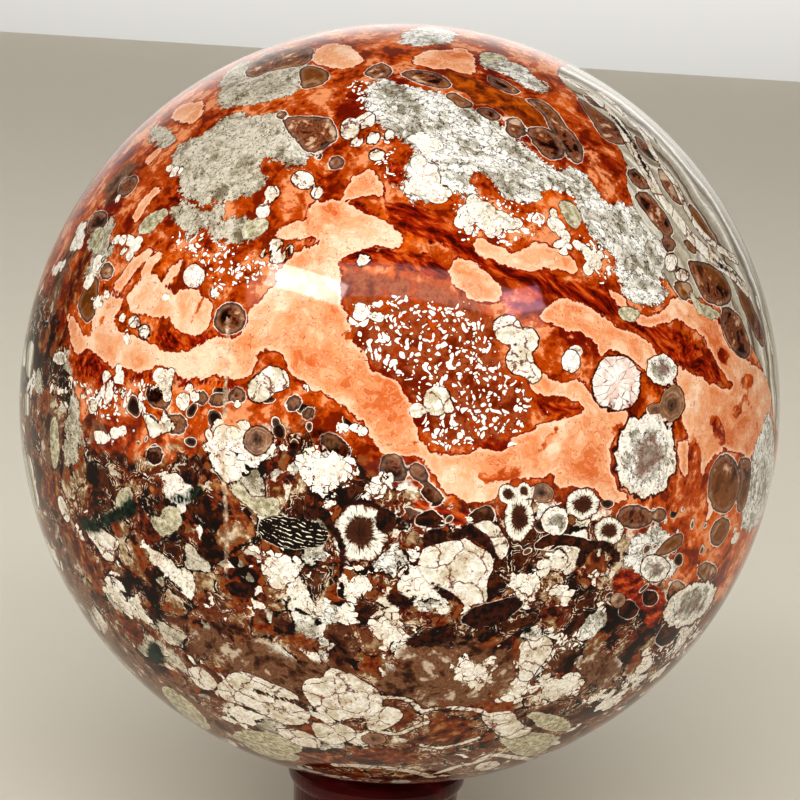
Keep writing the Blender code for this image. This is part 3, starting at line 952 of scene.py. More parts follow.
# Stones that are one ramp of colours: the field that the colour follows, and the colours along it
RAMPS = {
    "ochre": ("curdle", [(0.34, "#34120A"), (0.46, "#6E2C10"), (0.56, "#8E4A1E"), (0.66, "#B48454")]),
    "mauve": ("glass", [
        (0.10, "#3A1C0E"), (0.32, "#6A4228"), (0.50, "#8C6A50"), (0.66, "#7A4C30"), (0.82, "#A08670"),
        (0.94, "#CDBCA8")]),
    "deep": ("flow", [(0.10, "#4E1204"), (0.40, "#862206"), (0.70, "#AC380A"), (0.95, "#CC6A2A")]),
    "brick": ("glass", [
        (0.12, "#7A2C0C"), (0.36, "#96461E"), (0.56, "#A8603A"), (0.74, "#A4420E"), (0.92, "#BE5A18")]),
    "amber": ("curdle", [(0.36, "#6A2A04"), (0.48, "#9A4808"), (0.62, "#C46A14")]),
    "belt": ("shells", [
        (0.28, "#5E4430"), (0.35, "#8E7F6C"), (0.46, "#B4AA98"), (0.58, "#CBC3B2"), (0.68, "#F2EEE4")]),
    "striped": ("stripes", [(0.10, "#1C0E08"), (0.35, "#4A3422"), (0.60, "#CFC6B0"), (0.85, "#F2EEE0")]),
    "sage": ("fray", [(0.34, "#9C9278"), (0.48, "#BFB698"), (0.62, "#DAD3BC")]),
    "gap": ("fray", [(0.40, "#140603"), (0.60, "#4A1E0C")]),
    "green": ("fray", [(0.42, "#04100A"), (0.62, "#1E3A26")]),
    "seam": ("fray", [(0.40, "#A88C74"), (0.60, "#E0C8AE")]),
}


def wash(make, under, over, field, start, end, strength=1.0):
    """Lays one colour over another where a field goes from its start level to its end level."""
    share = make("MapRange", [field, start, end, 0.0, strength])
    return make("Mix", [share, under, over])


def lay_family(make, colour, fill, edge, noise, depth):
    """Lays one family of markings over the stone, with the line round it and the rim inside it. Hands
    back the colour, and where the family shows."""
    # The noises average a half, so on average the edge stands where it was drawn
    inside = make("Math", [noise[edge.lump], 2 * edge.lump_reach, depth], operation="MULTIPLY_ADD")
    inside = make("Math", [noise[edge.fine], 2 * edge.fine_reach, inside], operation="MULTIPLY_ADD")
    level = edge.lump_reach + edge.fine_reach
    if edge.line_colour:
        start = level - edge.line - edge.soft
        line = make("MapRange", [inside, start, start + 2 * edge.soft, 0.0, 1.0])
        fading = make("MapRange", [noise["patch"], 0.40, 0.54, 0.25, 1.0])
        line = make("Math", [line, fading], operation="MULTIPLY")
        colour = make("Mix", [line, colour, edge.line_colour])
    if edge.rim_colour:
        fill = wash(make, fill, edge.rim_colour, inside, level + edge.rim, level, 0.9)
    shown = make("MapRange", [inside, level - edge.soft, level + edge.soft, 0.0, 1.0])
    return make("Mix", [shown, colour, fill]), shown


def layered_fields(make, noise, drift, flow, few):
    """Adds the fields of the stones that lie in layers: flow lines, level stripes, and the belt's long
    thin shells, which lie one over another from front to back."""
    noise["flow"] = make("MapRange", [flow, 0.36, 0.62, 0.0, 1.0])
    level = make("VectorMath", [drift, (0.18, 0.0, 1.0)], operation="DOT_PRODUCT")
    level = make("Math", [noise["curdle"], 1.1, level], operation="MULTIPLY_ADD")
    noise["stripes"] = make("Math", [contours(make, level, 0.30, 0.17), few], operation="MULTIPLY")
    layer = make("VectorMath", [drift, TO_CAMERA], operation="DOT_PRODUCT")
    layer = make("Math", [noise["curdle"], 1.6, layer], operation="MULTIPLY_ADD")
    noise["shells"] = make("TexNoise", {"W": layer, "Scale": 1 / BELT_SHELL, "Detail": 3.0,
                                        "Roughness": 0.6}, noise_dimensions="1D")


def stone_noise(make, place, drift):
    """Every size of cloudiness, and the rounded lobes that scallop the white patches."""
    noise = {}
    for name, (size, detail, roughness) in CLOUDS.items():
        where = drift if size > DRIFTING_LUMP else place
        noise[name] = make("TexNoise", {"Vector": where, "Scale": 1 / size, "Detail": detail,
                                        "Roughness": roughness})
    lobe = make("TexVoronoi", {"Vector": place, "Scale": 1 / LOBE})
    chance = make("SeparateXYZ", [lobe.node.outputs["Color"]])
    roundness = make("MapRange", [lobe, 0.0, 0.8, 0.70, -0.04])
    noise["lobes"] = make("Math", [chance, 0.5, roundness], operation="MULTIPLY_ADD")
    return noise


def broken_pieces(make, where, size):
    """Cells of broken stone: each one's own chance, and how far a point lies from its edge."""
    cell = make("TexVoronoi", {"Vector": where, "Scale": 1 / size})
    edge = make("TexVoronoi", {"Vector": where, "Scale": 1 / size}, feature="DISTANCE_TO_EDGE")
    return make("SeparateXYZ", [cell.node.outputs["Color"]]), edge


def jasper(make, look, noise, flow):
    """Red jasper, with wisps of the peach stone fading through it and dark tendrils between them."""
    redness = make("Math", [noise["patch"], 0.45, noise["cloud"]], operation="MULTIPLY_ADD")
    redness = make("Math", [flow, 0.35, redness], operation="MULTIPLY_ADD")
    redness = make("Math", [noise["fray"], 0.15, redness], operation="MULTIPLY_ADD")
    redness = make("MapRange", [redness, 0.68, 1.26, 0.0, 1.0])
    rust = make("ValToRGB", [redness], stops=[
        (0.20, look.deep_red[:]), (0.38, look.rust[:]), (0.58, look.rust[:]), (0.84, look.orange[:])])
    wisp = make("Math", [noise["curdle"], 0.6, noise["patch"]], operation="MULTIPLY_ADD")
    wisp = make("Math", [noise["fray"], 0.25, wisp], operation="MULTIPLY_ADD")
    rust = wash(make, rust, "#701A02", wisp, 0.88, 0.80, 0.8)
    streak = make("MapRange", [wisp, 0.90, 1.02, 0.0, 0.75])
    streak = make("Math", [contours(make, wisp, 0.03, 0.012), streak], operation="MULTIPLY")
    rust = make("Mix", [streak, rust, "#EFA878"])
    return wash(make, rust, "#E9A074", wisp, 0.96, 1.04, 0.9)


def chip_splits(make, noise, chip_edge, few):
    """Thin dark gaps along some chips of the white stone."""
    split = make("MapRange", [chip_edge, 0.0, 0.045, 0.8, 0.0])
    split = make("Math", [split, few], operation="MULTIPLY")
    in_some = make("MapRange", [noise["patch"], 0.42, 0.56, 0.15, 1.0])
    return make("Math", [split, in_some], operation="MULTIPLY")


def rough_white(make, noise, lower, split, crack_line):
    """White chalcedony, warm, with stains in places, reddish cracks and thin dark gaps."""
    milk = make("Math", [noise["curdle"], 0.7, noise["grain"]], operation="MULTIPLY_ADD")
    white = make("ValToRGB", [milk], stops=[(0.62, "#E2D4BA"), (0.72, "#F1E9D9"), (0.84, "#FAF5EA")])
    white = wash(make, white, "#DACAB0", noise["patch"], 0.52, 0.66, 0.6)
    white = make("Mix", [split, white, "#5E2A18"])
    crescent = make("MapRange", [milk, 0.62, 0.59, 0.0, 0.9])
    crescent = make("Math", [crescent, lower], operation="MULTIPLY")
    white = make("Mix", [crescent, white, "#1E0C06"])
    return make("Mix", [crack_line, white, "#A0452A"])


def smooth_white(make, noise, chip, block_edge, split, crack_line):
    """The same white stone where it cut smooth, with only a few reddish hairlines."""
    hairline = make("MapRange", [block_edge, 0.016, 0.046, 0.9, 0.0])
    broken = make("MapRange", [noise["fray"], 0.40, 0.48, 0.0, 1.0])
    hairline = make("Math", [hairline, broken], operation="MULTIPLY")
    own_tone = make("Math", [chip, 0.22, noise["curdle"]], operation="MULTIPLY_ADD")
    white = make("ValToRGB", [own_tone], stops=[(0.42, "#CFC3AA"), (0.54, "#E6DDCA"), (0.68, "#F6F1E6")])
    white = make("Mix", [hairline, white, "#6A3420"])
    half_split = make("Math", [split, 0.6], operation="MULTIPLY")
    white = make("Mix", [half_split, white, "#7A4630"])
    return make("Mix", [crack_line, white, "#A0452A"])


def scaly_crust(make, noise, place, drift, warp, crack_line):
    """Pale warm grey stone that turns into packed white scales, with thin dark gaps between them."""
    scaly = make("VectorMath", [warp, (1.8, 1.8, 1.8), drift], operation="MULTIPLY_ADD")
    scaly = make("Mapping", {"Vector": scaly, "Rotation": (0.0, 0.75, 0.0), "Scale": (1.7, 0.85, 0.75)},
                 vector_type="TEXTURE")
    chance, gaps = broken_pieces(make, scaly, 1.0)
    gaps = make("MapRange", [gaps, 0.01, 0.08, 1.0, 0.0])
    fading = make("MapRange", [noise["fray"], 0.44, 0.62, 1.0, 0.15])
    gaps = make("Math", [gaps, fading], operation="MULTIPLY")
    packed = make("Math", [noise["patch"], 0.9], operation="MULTIPLY")
    packed = make("Math", [noise["curdle"], 0.35, packed], operation="MULTIPLY_ADD")
    packed = make("Math", [chance, 0.20, packed], operation="MULTIPLY_ADD")
    packed = make("MapRange", [packed, 0.52, 0.90, 0.0, 1.0])
    crust = make("ValToRGB", [packed], stops=[
        (0.05, "#9E9684"), (0.26, "#CAC4B6"), (0.48, "#E7E3D8"), (0.72, "#F8F5EE")])
    # Its left part is closer grained, and a little darker, which is painted shade
    left_shade_and_grain = make("SeparateXYZ", [place])
    left_shade_and_grain = make("MapRange", [left_shade_and_grain, *LEFT_SHADE_FROM_TO, 1.0, 0.0])
    open_gaps = make("MapRange", [left_shade_and_grain, 0.0, 1.0, 0.9, 0.5])
    gaps = make("Math", [gaps, open_gaps], operation="MULTIPLY")
    crust = make("Mix", [gaps, crust, "#4A3420"])
    # Painted shade: the crust's left part is multiplied by a slightly darker grey
    crust = make("Mix", [left_shade_and_grain, crust, "#DED8CC"], blend_type="MULTIPLY")
    pits = make("MapRange", [noise["grain"], 0.32, 0.37, 0.8, 0.0])
    crust = make("Mix", [pits, crust, "#4A3624"])
    return make("Mix", [crack_line, crust, "#4A2210"])


def clouded_peach(make, look, noise, flow, wander, crack):
    """Peach chalcedony, softly clouded, with pale banding and thin darker veins."""
    blush = make("Math", [wander, 0.8, noise["cloud"]], operation="MULTIPLY_ADD")
    banding = contours(make, blush, 0.06, 0.016)
    blush = make("Math", [noise["curdle"], 0.12, blush], operation="MULTIPLY_ADD")
    blush = make("MapRange", [blush, 0.66, 1.24, 0.0, 1.0])
    peach = make("ValToRGB", [blush], stops=[
        (0.10, "#D27A46"), (0.34, "#E4A074"), (0.58, look.peach[:]), (0.85, "#F4D2B6")])
    banding = make("Math", [banding, 0.3], operation="MULTIPLY")
    peach = make("Mix", [banding, peach, "#FBDEC6"])
    vein = make("Math", [crack, 0.55], operation="MULTIPLY")
    peach = make("Mix", [vein, peach, "#B03C10"])
    strand = make("Math", [flow, 0.585, 0.010], operation="COMPARE")
    in_clouds = make("MapRange", [noise["cloud"], 0.44, 0.54, 0.6, 0.0])
    strand = make("Math", [strand, in_clouds], operation="MULTIPLY")
    return make("Mix", [strand, peach, "#CE5620"])


def smoky_glass(make, noise, depth):
    """Brown, grey and amber glass. Adds the field that all glassy stones take their colour from."""
    glass = make("Math", [noise["curdle"], 1.2, noise["patch"]], operation="MULTIPLY_ADD")
    noise["glass"] = make("MapRange", [glass, 0.82, 1.38, 0.0, 1.0])
    smoke = make("ValToRGB", [noise["glass"]], stops=[
        (0.14, "#260C04"), (0.32, "#5A2A14"), (0.48, "#946448"), (0.62, "#703414"), (0.78, "#AC7C5C"),
        (0.94, "#D8BEA4")])
    smoke = wash(make, smoke, "#8A5418", noise["cloud"], 0.50, 0.56, 0.65)
    return wash(make, smoke, "#B89C88", depth["lens"], 1.0, 0.4, 0.35)


def dark_stone(make, noise, depth, white, crust, few, chips, blocks):
    """The dark lower stone, a rusty, almost black paste with broken pieces in it, and the sooty glass
    that its lenses are of."""
    tint = make("Math", [noise["curdle"], 0.7, noise["patch"]], operation="MULTIPLY_ADD")
    tint = make("Math", [noise["fray"], 0.4, tint], operation="MULTIPLY_ADD")
    tint = make("MapRange", [tint, 0.72, 1.36, 0.0, 1.0])
    rubble = make("ValToRGB", [tint], stops=[
        (0.24, "#1E0802"), (0.40, "#461604"), (0.54, "#82340A"), (0.64, "#5A2A0C"), (0.78, "#906234"),
        (0.94, "#B09A74")])
    # Towards the bottom the paste turns to brown and mauve-brown glass
    umber = make("ValToRGB", [tint], stops=[
        (0.22, "#3A1408"), (0.38, "#703A1C"), (0.52, "#86583A"), (0.66, "#7A4A30"), (0.80, "#A88668"),
        (0.94, "#D2BCA4")])
    bottom = make("Math", [noise["patch"], 20.0, depth["dark"]], operation="MULTIPLY_ADD")
    bottom = make("MapRange", [bottom, 30.0, 40.0, 0.0, 0.85])
    rubble = make("Mix", [bottom, rubble, umber])
    pebble = make("ValToRGB", [tint], stops=[
        (0.20, "#6A2404"), (0.40, "#9C4E16"), (0.55, "#7E5A38"), (0.72, "#B09474"), (0.90, "#DCCAB0")])
    soot = make("ValToRGB", [noise["glass"]], stops=[
        (0.20, "#140501"), (0.48, "#321004"), (0.70, "#66300C"), (0.90, "#3C180A")])
    part_bottom = make("Math", [bottom, 0.8], operation="MULTIPLY")
    soot = make("Mix", [part_bottom, soot, umber])

    # Rust-brown glass, white, olive and gold chips bedded in the paste, then blocks with dark joints
    uneven = make("MapRange", [noise["curdle"], 0.35, 0.65, -0.10, 0.10])
    chip, chip_edge = chips
    chip_body = make("Math", [chip_edge, uneven], operation="ADD")
    chip_body = make("MapRange", [chip_body, 0.04, 0.09, 0.0, 1.0])
    for chance, fill in ((0.42, pebble), (0.14, white), (0.06, crust)):
        picked = make("Math", [chip, chance], operation="LESS_THAN")
        picked = make("Math", [picked, chip_body], operation="MULTIPLY")
        rubble = make("Mix", [picked, rubble, fill])
    block, block_edge = blocks
    block_body = make("Math", [block_edge, uneven], operation="ADD")
    block_body = make("MapRange", [block_body, 0.01, 0.05, 0.0, 1.0])
    for chance, fill in ((0.60, soot), (0.30, pebble), (0.15, crust), (0.09, white)):
        picked = make("Math", [block, chance], operation="LESS_THAN")
        rubble = make("Mix", [picked, rubble, "#1C0803"])
        picked = make("Math", [picked, block_body], operation="MULTIPLY")
        rubble = make("Mix", [picked, rubble, fill])
    # Some blocks wear one or two thin pale shells, as the banding of a nodule does
    shell = make("Math", [block_edge, 0.07, 0.022], operation="COMPARE")
    inner_shell = make("Math", [block_edge, 0.17, 0.014], operation="COMPARE")
    shell = make("Math", [shell, inner_shell], operation="MAXIMUM")
    shell = make("Math", [shell, few], operation="MULTIPLY")
    in_some = make("MapRange", [noise["patch"], 0.46, 0.58, 0.0, 0.9])
    shell = make("Math", [shell, in_some], operation="MULTIPLY")
    return make("Mix", [shell, rubble, "#E6DAC6"]), soot


def agate_material(look):
    """Money agate: banded and mossy chalcedony over jasper, ground and polished to a wet-looking
    mirror. Hard, sharp-edged markings under one even clear gloss, with the crust a little less bright."""
    material, tree, shader = blank_material("polished_agate")
    make = functools.partial(add, tree)
    place = make("TexCoord").node.outputs["Object"]
    place = make("VectorMath", {"Vector": place, "Scale": MM}, operation="SCALE")
    drift = make("TexNoise", {"Vector": place, "Scale": 1 / DRIFT_LUMP, "Detail": 1.0}).node.outputs["Color"]
    drift = make("VectorMath", [drift, (DRIFT_REACH,) * 3, place], operation="MULTIPLY_ADD")
    noise = stone_noise(make, place, drift)
    depth = {}
    for family in [*LAYOUT, "dark"]:
        depth[family] = make("Attribute", attribute_name=family).node.outputs["Fac"]

    # Thin cracks run where a slow noise crosses a level, and flow lines are drawn out along the band
    wander = make("TexNoise", {"Vector": drift, "Scale": 1 / 2.8, "Detail": 3.0, "Roughness": 0.55})
    crack = make("Math", [wander, 0.5, 0.0045], operation="COMPARE")
    second_crack = make("Math", [wander, 0.57, 0.0035], operation="COMPARE")
    crack = make("Math", [crack, second_crack], operation="MAXIMUM")
    crack_line = make("Math", [crack, 0.75], operation="MULTIPLY")
    along = make("Mapping", {"Vector": drift, "Rotation": (0.0, 0.5, 0.0), "Scale": (7.0, 1.1, 1.1)},
                 vector_type="TEXTURE")
    flow = make("TexNoise", {"Vector": along, "Scale": 1.1, "Detail": 4.0, "Roughness": 0.65})

    # The stone broke into blocks with chips between them
    warp = make("TexNoise", {"Vector": place, "Scale": 1 / 1.7, "Detail": 4.0, "Roughness": 0.6})
    warp = warp.node.outputs["Color"]
    bent = make("VectorMath", [warp, (2.2, 2.2, 2.2), drift], operation="MULTIPLY_ADD")
    rounder = make("VectorMath", [warp, (0.7, 0.7, 0.7), drift], operation="MULTIPLY_ADD")
    blocks = broken_pieces(make, bent, BLOCK)
    chips = broken_pieces(make, bent, CHIP)
    chip, chip_edge = chips
    few = make("MapRange", [noise["fray"], 0.44, 0.54, 0.0, 1.0])

    # In the dark stone the white patches break along the chips instead, into angular shards
    lower = make("Math", [noise["curdle"], 9.0, depth["dark"]], operation="MULTIPLY_ADD")
    lower = make("MapRange", [lower, 3.6, 5.4, 0.0, 1.0])
    shard = make("MapRange", [chip_edge, 0.0, 0.10, -0.45, 0.0])
    shard = make("Math", [chip, 0.9, shard], operation="MULTIPLY_ADD")
    noise["lobes"] = make("Mix", [lower, noise["lobes"], shard], data_type="FLOAT")

    rust = jasper(make, look, noise, flow)
    split = chip_splits(make, noise, chip_edge, few)
    white = rough_white(make, noise, lower, split, crack_line)
    crust = scaly_crust(make, noise, place, drift, warp, crack_line)
    smoke = smoky_glass(make, noise, depth)
    rubble, soot = dark_stone(make, noise, depth, white, crust, few, chips, blocks)

    layered_fields(make, noise, drift, flow, few)
    fills = {}
    for family, (field, stops) in RAMPS.items():
        fills[family] = make("ValToRGB", [noise[field]], stops=stops)
    fills["sage"] = make("Mix", [crack_line, fills["sage"], "#5A4630"])
    fills["peach"] = clouded_peach(make, look, noise, flow, wander, crack)
    fills["rust_in_peach"] = rust
    fills["lens"] = make("Mix", [lower, smoke, soot])
    fills["crust"] = crust
    fills["white"] = white
    fills["shell"] = smooth_white(make, noise, chip, blocks[1], split, crack_line)

    colour = make("Mix", [lower, rust, rubble])
    shown = {}
    for family, edge in EDGES.items():
        if family == "crust":
            colour = lay_flecks(make, colour, place, depth)
        if family == "lens":
            colour = lay_bubbles(make, colour, rounder, depth, smoke)
        colour, shown[family] = lay_family(make, colour, fills[family], edge, noise, depth[family])
        if family == "white":
            colour = lay_coins(make, colour, noise, crust, white, smoke)

    # Fine unevenness of tone all over, as light sinks into the stone by different amounts
    tone = make("Math", [noise["fray"], 0.8, noise["grain"]], operation="MULTIPLY_ADD")
    tone = make("MapRange", [tone, 0.70, 1.06, 0.78, 0.98])
    clear = make("MapRange", [shown["peach"], 0.0, 1.0, 1.0, 0.5])
    colour = make("Mix", [clear, colour, tone], blend_type="MULTIPLY")

    tree.links.new(colour, shader.inputs["Base Color"])
    polish = make("MapRange", [shown["crust"], 0.0, 1.0, look.polish, look.crust_polish])
    tree.links.new(polish, shader.inputs["Roughness"])
    shader.inputs["IOR"].default_value = CHALCEDONY_IOR
    shader.inputs["Specular IOR Level"].default_value = 0.22
    pitted = make("TexNoise", {"Vector": place, "Scale": 1 / PIT, "Detail": 1.0})
    pitted = make("Math", [pitted, shown["crust"]], operation="MULTIPLY")
    bump = make("Bump", {"Strength": 0.3, "Distance": 0.00002, "Height": pitted})
    tree.links.new(bump, shader.inputs["Normal"])
    return material


def contours(make, field, spacing, width):
    """Soft thin lines along a field's levels, like the banding in cut agate."""
    level = make("Math", [field, spacing], operation="PINGPONG")
    return make("MapRange", [level, 0.0, width, 1.0, 0.0])


def lay_flecks(make, colour, place, depth):
    """Sharp white slivers up to a millimetre long, thick in their own zones and thinly shed by the crust."""
    bent = make("TexNoise", {"Vector": place, "Scale": 0.5, "Detail": 1.0}).node.outputs["Color"]
    bent = make("VectorMath", [bent, (3.2, 3.2, 3.2), place], operation="MULTIPLY_ADD")
    bent = make("VectorMath", [bent, (1.0, 1.0, 0.92)], operation="MULTIPLY")
    sliver = make("TexVoronoi", {"Vector": bent, "Scale": 1.2})
    chance = make("SeparateXYZ", [sliver.node.outputs["Color"]])
    shed = make("Math", [depth["crust"], 0.6], operation="SUBTRACT")
    shed = make("Math", [depth["flecks"], shed], operation="MAXIMUM")
    zone = make("MapRange", [shed, -0.9, 1.2, -0.35, 0.23])
    size = make("Math", [chance, 0.34, zone], operation="MULTIPLY_ADD")
    inside = make("Math", [size, sliver], operation="SUBTRACT")
    colour = wash(make, colour, "#6E1E06", inside, -0.10, -0.05, 0.9)
    return wash(make, colour, "#FAF6EC", inside, -0.02, 0.02)


def lay_bubbles(make, colour, place, depth, smoke):
    """Froth: small rounds with a thin pale rim and a dark heart, in the zones for them."""
    bubble = make("TexVoronoi", {"Vector": place, "Scale": 1 / BUBBLE})
    chance = make("SeparateXYZ", [bubble.node.outputs["Color"]])
    allowed = make("MapRange", [depth["froth"], -1.0, 1.0, 0.0, 0.85])
    present = make("Math", [chance, allowed], operation="LESS_THAN")
    radius = make("MapRange", [chance, 0.0, 0.85, 0.16, 0.56])
    radius = make("Math", [radius, present], operation="MULTIPLY")
    inside = make("Math", [radius, bubble], operation="SUBTRACT")
    colour = wash(make, colour, "#2A0C04", inside, -0.03, 0.0, 0.8)
    colour = wash(make, colour, "#EADBCB", inside, 0.0, 0.02)
    darkness = make("MapRange", [inside, 0.06, 0.18, 0.25, 0.92])
    heart = make("Mix", [darkness, smoke, "#1A0703"])
    return wash(make, colour, heart, inside, 0.045, 0.065)


def lay_coins(make, colour, noise, crust, white, smoke):
    """The coin markings: radial white rings round brown, grey geodes with a white rim, white cells cut
    by radial cracks, and banded eyes."""
    out = make("Attribute", attribute_name="coin").node.outputs["Fac"]
    face = make("Attribute", attribute_name="coin_face").node.outputs["Vector"]
    kind = make("SeparateXYZ", [face]).node.outputs["Z"]
    spoke = make("VectorMath", [face, (1.0, 1.0, 0.0)], operation="MULTIPLY")
    spoke = make("VectorMath", [spoke], operation="NORMALIZE")
    spoke = make("VectorMath", [face, (0.3, 0.3, 3.0), spoke], operation="MULTIPLY_ADD")
    fibre = make("TexNoise", {"Vector": spoke, "Scale": 7.0, "Detail": 2.0, "Roughness": 0.7})

    wavy = make("Math", [noise["curdle"], 0.52, out], operation="MULTIPLY_ADD")
    wavy = make("Math", [noise["fray"], 0.12, wavy], operation="MULTIPLY_ADD")
    wavy = make("Math", [wavy, 0.32], operation="SUBTRACT")
    frayed = make("Math", [fibre, 0.7, wavy], operation="MULTIPLY_ADD")
    frayed = make("Math", [frayed, 0.35], operation="SUBTRACT")
    ring = make("ValToRGB", [frayed], stops=[
        (0.10, "#3A1A0E"), (0.40, "#5E3420"), (0.50, "#2E120A"), (0.56, "#B8A48C"), (0.62, "#F2EDE0"),
        (0.86, "#F5F1E6"), (0.96, "#B59E88")])
    ring = wash(make, ring, "#3E1C10", fibre, 0.60, 0.64, 0.75)

    mottled = make("Math", [noise["curdle"], 0.9, wavy], operation="MULTIPLY_ADD")
    hollow = make("ValToRGB", [noise["patch"]], stops=[(0.42, "#8A8270"), (0.56, "#7A4A34")])
    geode = wash(make, crust, hollow, mottled, 1.08, 0.70, 0.8)
    geode = wash(make, geode, white, mottled, 1.16, 1.24)

    joint = make("VectorMath", [face, (1.0, 1.7, 0.0), spoke], operation="MULTIPLY_ADD")
    joint = make("TexVoronoi", {"Vector": joint, "Scale": 0.95}, feature="DISTANCE_TO_EDGE")
    joint = make("MapRange", [joint, 0.008, 0.035, 0.0, 1.0])
    clean = make("MapRange", [noise["fray"], 0.44, 0.56, 0.0, 0.8])
    joint = make("Math", [joint, clean], operation="MAXIMUM")
    cell = make("ValToRGB", [noise["curdle"]], stops=[(0.40, "#EBD2C6"), (0.54, "#F8F4EC")])
    cell = make("Mix", [joint, "#7A3018", cell])

    in_some = make("MapRange", [noise["curdle"], 0.40, 0.58, 0.15, 0.8])
    band = make("Math", [contours(make, wavy, 0.11, 0.05), in_some], operation="MULTIPLY")
    eye = make("Mix", [band, smoke, "#C6AE96"])
    eye = wash(make, eye, "#1E100A", wavy, 0.60, 0.15, 0.85)

    picture = ring
    for step, fill in zip(COIN_STEPS, (geode, cell, eye)):
        is_past = make("Math", [kind, step], operation="GREATER_THAN")
        picture = make("Mix", [is_past, picture, fill])
    colour = wash(make, colour, "#4A1A0C", wavy, 1.06, 1.02)
    return wash(make, colour, picture, wavy, 0.98, 0.95)


def lacquer_material(look):
    """Turned hardwood under dark red gloss lacquer: deep colour, a hard sharp shine, and the faint
    lines of the grain and of the turning tool showing through."""
    material, tree, shader = blank_material("red_lacquered_wood")
    make = functools.partial(add, tree)
    place = make("TexCoord").node.outputs["Object"]
    place = make("VectorMath", {"Vector": place, "Scale": MM}, operation="SCALE")
    along = make("Mapping", {"Vector": place, "Scale": (0.05, 0.5, 0.5)})
    grain = make("TexNoise", {"Vector": along, "Scale": 1.0, "Detail": 3.0, "Roughness": 0.5})
    wood = make("ValToRGB", [grain], stops=[(0.25, look.lacquer_dark[:]), (0.75, look.lacquer[:])])
    tree.links.new(wood, shader.inputs["Base Color"])
    shader.inputs["IOR"].default_value = LACQUER_IOR
    shader.inputs["Specular IOR Level"].default_value = 0.25
    shader.inputs["Coat Weight"].default_value = 0.3
    shader.inputs["Coat Roughness"].default_value = 0.06
    gloss = make("MapRange", [grain, 0.3, 0.7, look.gloss - 0.02, look.gloss + 0.02])
    tree.links.new(gloss, shader.inputs["Roughness"])
    turning = make("Mapping", {"Vector": place, "Scale": (0.02, 0.02, 2.2)})
    turning = make("TexNoise", {"Vector": turning, "Scale": 1.0, "Detail": 2.0})
    bump = make("Bump", {"Strength": 0.15, "Distance": 0.0001, "Height": turning})
    tree.links.new(bump, shader.inputs["Normal"])
    return material


def plain_material(name, colour, roughness):
    """A flat matt colour, for the stage."""
    material, _, shader = blank_material(name)
    shader.inputs["Base Color"].default_value = colour
    shader.inputs["Roughness"].default_value = roughness
    return material


def colour_property(name, description, code):
    """A colour setting that starts at a colour code."""
    return FloatVectorProperty(
        name=name, description=description, subtype="COLOR", size=4, default=linear(code), min=0.0, max=1.0)


def roughness_property(name, description, value):
    """A roughness setting, from 0 to 1."""
    return FloatProperty(
        name=name, description=description, subtype="FACTOR", default=value, min=0.0, max=1.0)


def power_property(name, description, watts):
    """A light's power setting, in watts."""
    return FloatProperty(name=name, description=description, unit="POWER", default=watts, min=0.0)


class AgateLook(bpy.types.PropertyGroup):
    """Colours and polish of the ball."""

    rust: colour_property("Rust", "Main red-orange of the jasper", "#B8520C")
    deep_red: colour_property("Deep red", "Darkest red of the jasper", "#8A2606")
    orange: colour_property("Orange", "Lightest orange of the jasper", "#DC6E14")
    peach: colour_property("Peach", "Main colour of the peach chalcedony", "#E9B28C")
    polish: roughness_property("Polish", "Roughness of the polished stone", 0.05)
    crust_polish: roughness_property("Crust polish", "Roughness where the porous crust is cut", 0.12)


class StandLook(bpy.types.PropertyGroup):
    """Colours and gloss of the ring stand."""

    lacquer: colour_property("Lacquer", "Lighter red of the lacquer over the grain", "#5C0E0E")
    lacquer_dark: colour_property("Dark lacquer", "Darker red of the lacquer over the grain", "#380808")
    gloss: roughness_property("Gloss", "Roughness of the lacquer", 0.16)


class StageLook(bpy.types.PropertyGroup):
    """The pale table, the wall behind it and the soft lights."""

    table: colour_property("Table", "Colour of the table", "#EFE9DB")
    wall: colour_property("Wall", "Colour of the wall behind", "#F0EFEC")
    table_depth: FloatProperty(
        name="Table depth", description="From the ball to the table's far edge", default=1.95, unit="LENGTH")
    window_power: power_property("Window light", "Power of the long window light", 8.5)
    front_power: power_property("Front light", "Power of the broad front light", 7.8)
    side_power: power_property("Side lights", "Power of each side light", 1.5)
    ceiling_power: power_property("Ceiling light", "Power of the ceiling light", 7.0)
    wall_power: power_property("Wall light", "Power of the light on the wall behind", 20.0)
    sky: FloatProperty(
        name="Room light", description="Strength of the even light of the room", default=0.125, min=0.0)


def link(obj):
    """Puts an object into the scene."""
    bpy.context.scene.collection.objects.link(obj)
    return obj


def packed_node(name):
    """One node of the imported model. Raises an error where the model has none of that name."""
    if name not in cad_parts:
        raise RuntimeError(f"The packed model has no {name}")
    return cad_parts[name]


class AGATE_OT_ball(bpy.types.Operator):
    """Build the polished agate ball in place of the plain one"""

    bl_idname = "agate.ball"
    bl_label = "Agate ball"

    def execute(self, context):
        packed_node("agate_sphere")
        mesh, skin = ball_mesh("agate_ball")
        rim, face = coin_faces(skin)
        for name, values in {**marking_depths(skin), "coin": rim}.items():
            mesh.attributes.new(name, "FLOAT", "POINT").data.foreach_set("value", values.astype(np.float32))
        coin_face = mesh.attributes.new("coin_face", "FLOAT_VECTOR", "POINT")
        coin_face.data.foreach_set("vector", face.astype(np.float32).ravel())
        mesh.materials.append(agate_material(context.scene.agate_look))
        ball = link(bpy.data.objects.new("agate_ball", mesh))
        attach(ball, "root")
        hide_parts("agate_sphere")
        return {"FINISHED"}


class AGATE_OT_stand(bpy.types.Operator):
    """Lacquer the turned ring stand"""

    bl_idname = "agate.stand"
    bl_label = "Ring stand"

    def execute(self, context):
        stand = packed_node("ring_stand")
        if not stand.material_slots:
            raise RuntimeError("The ring stand has no material slot")
        material = lacquer_material(context.scene.stand_look)
        for slot in stand.material_slots:
            slot.material = material
        return {"FINISHED"}


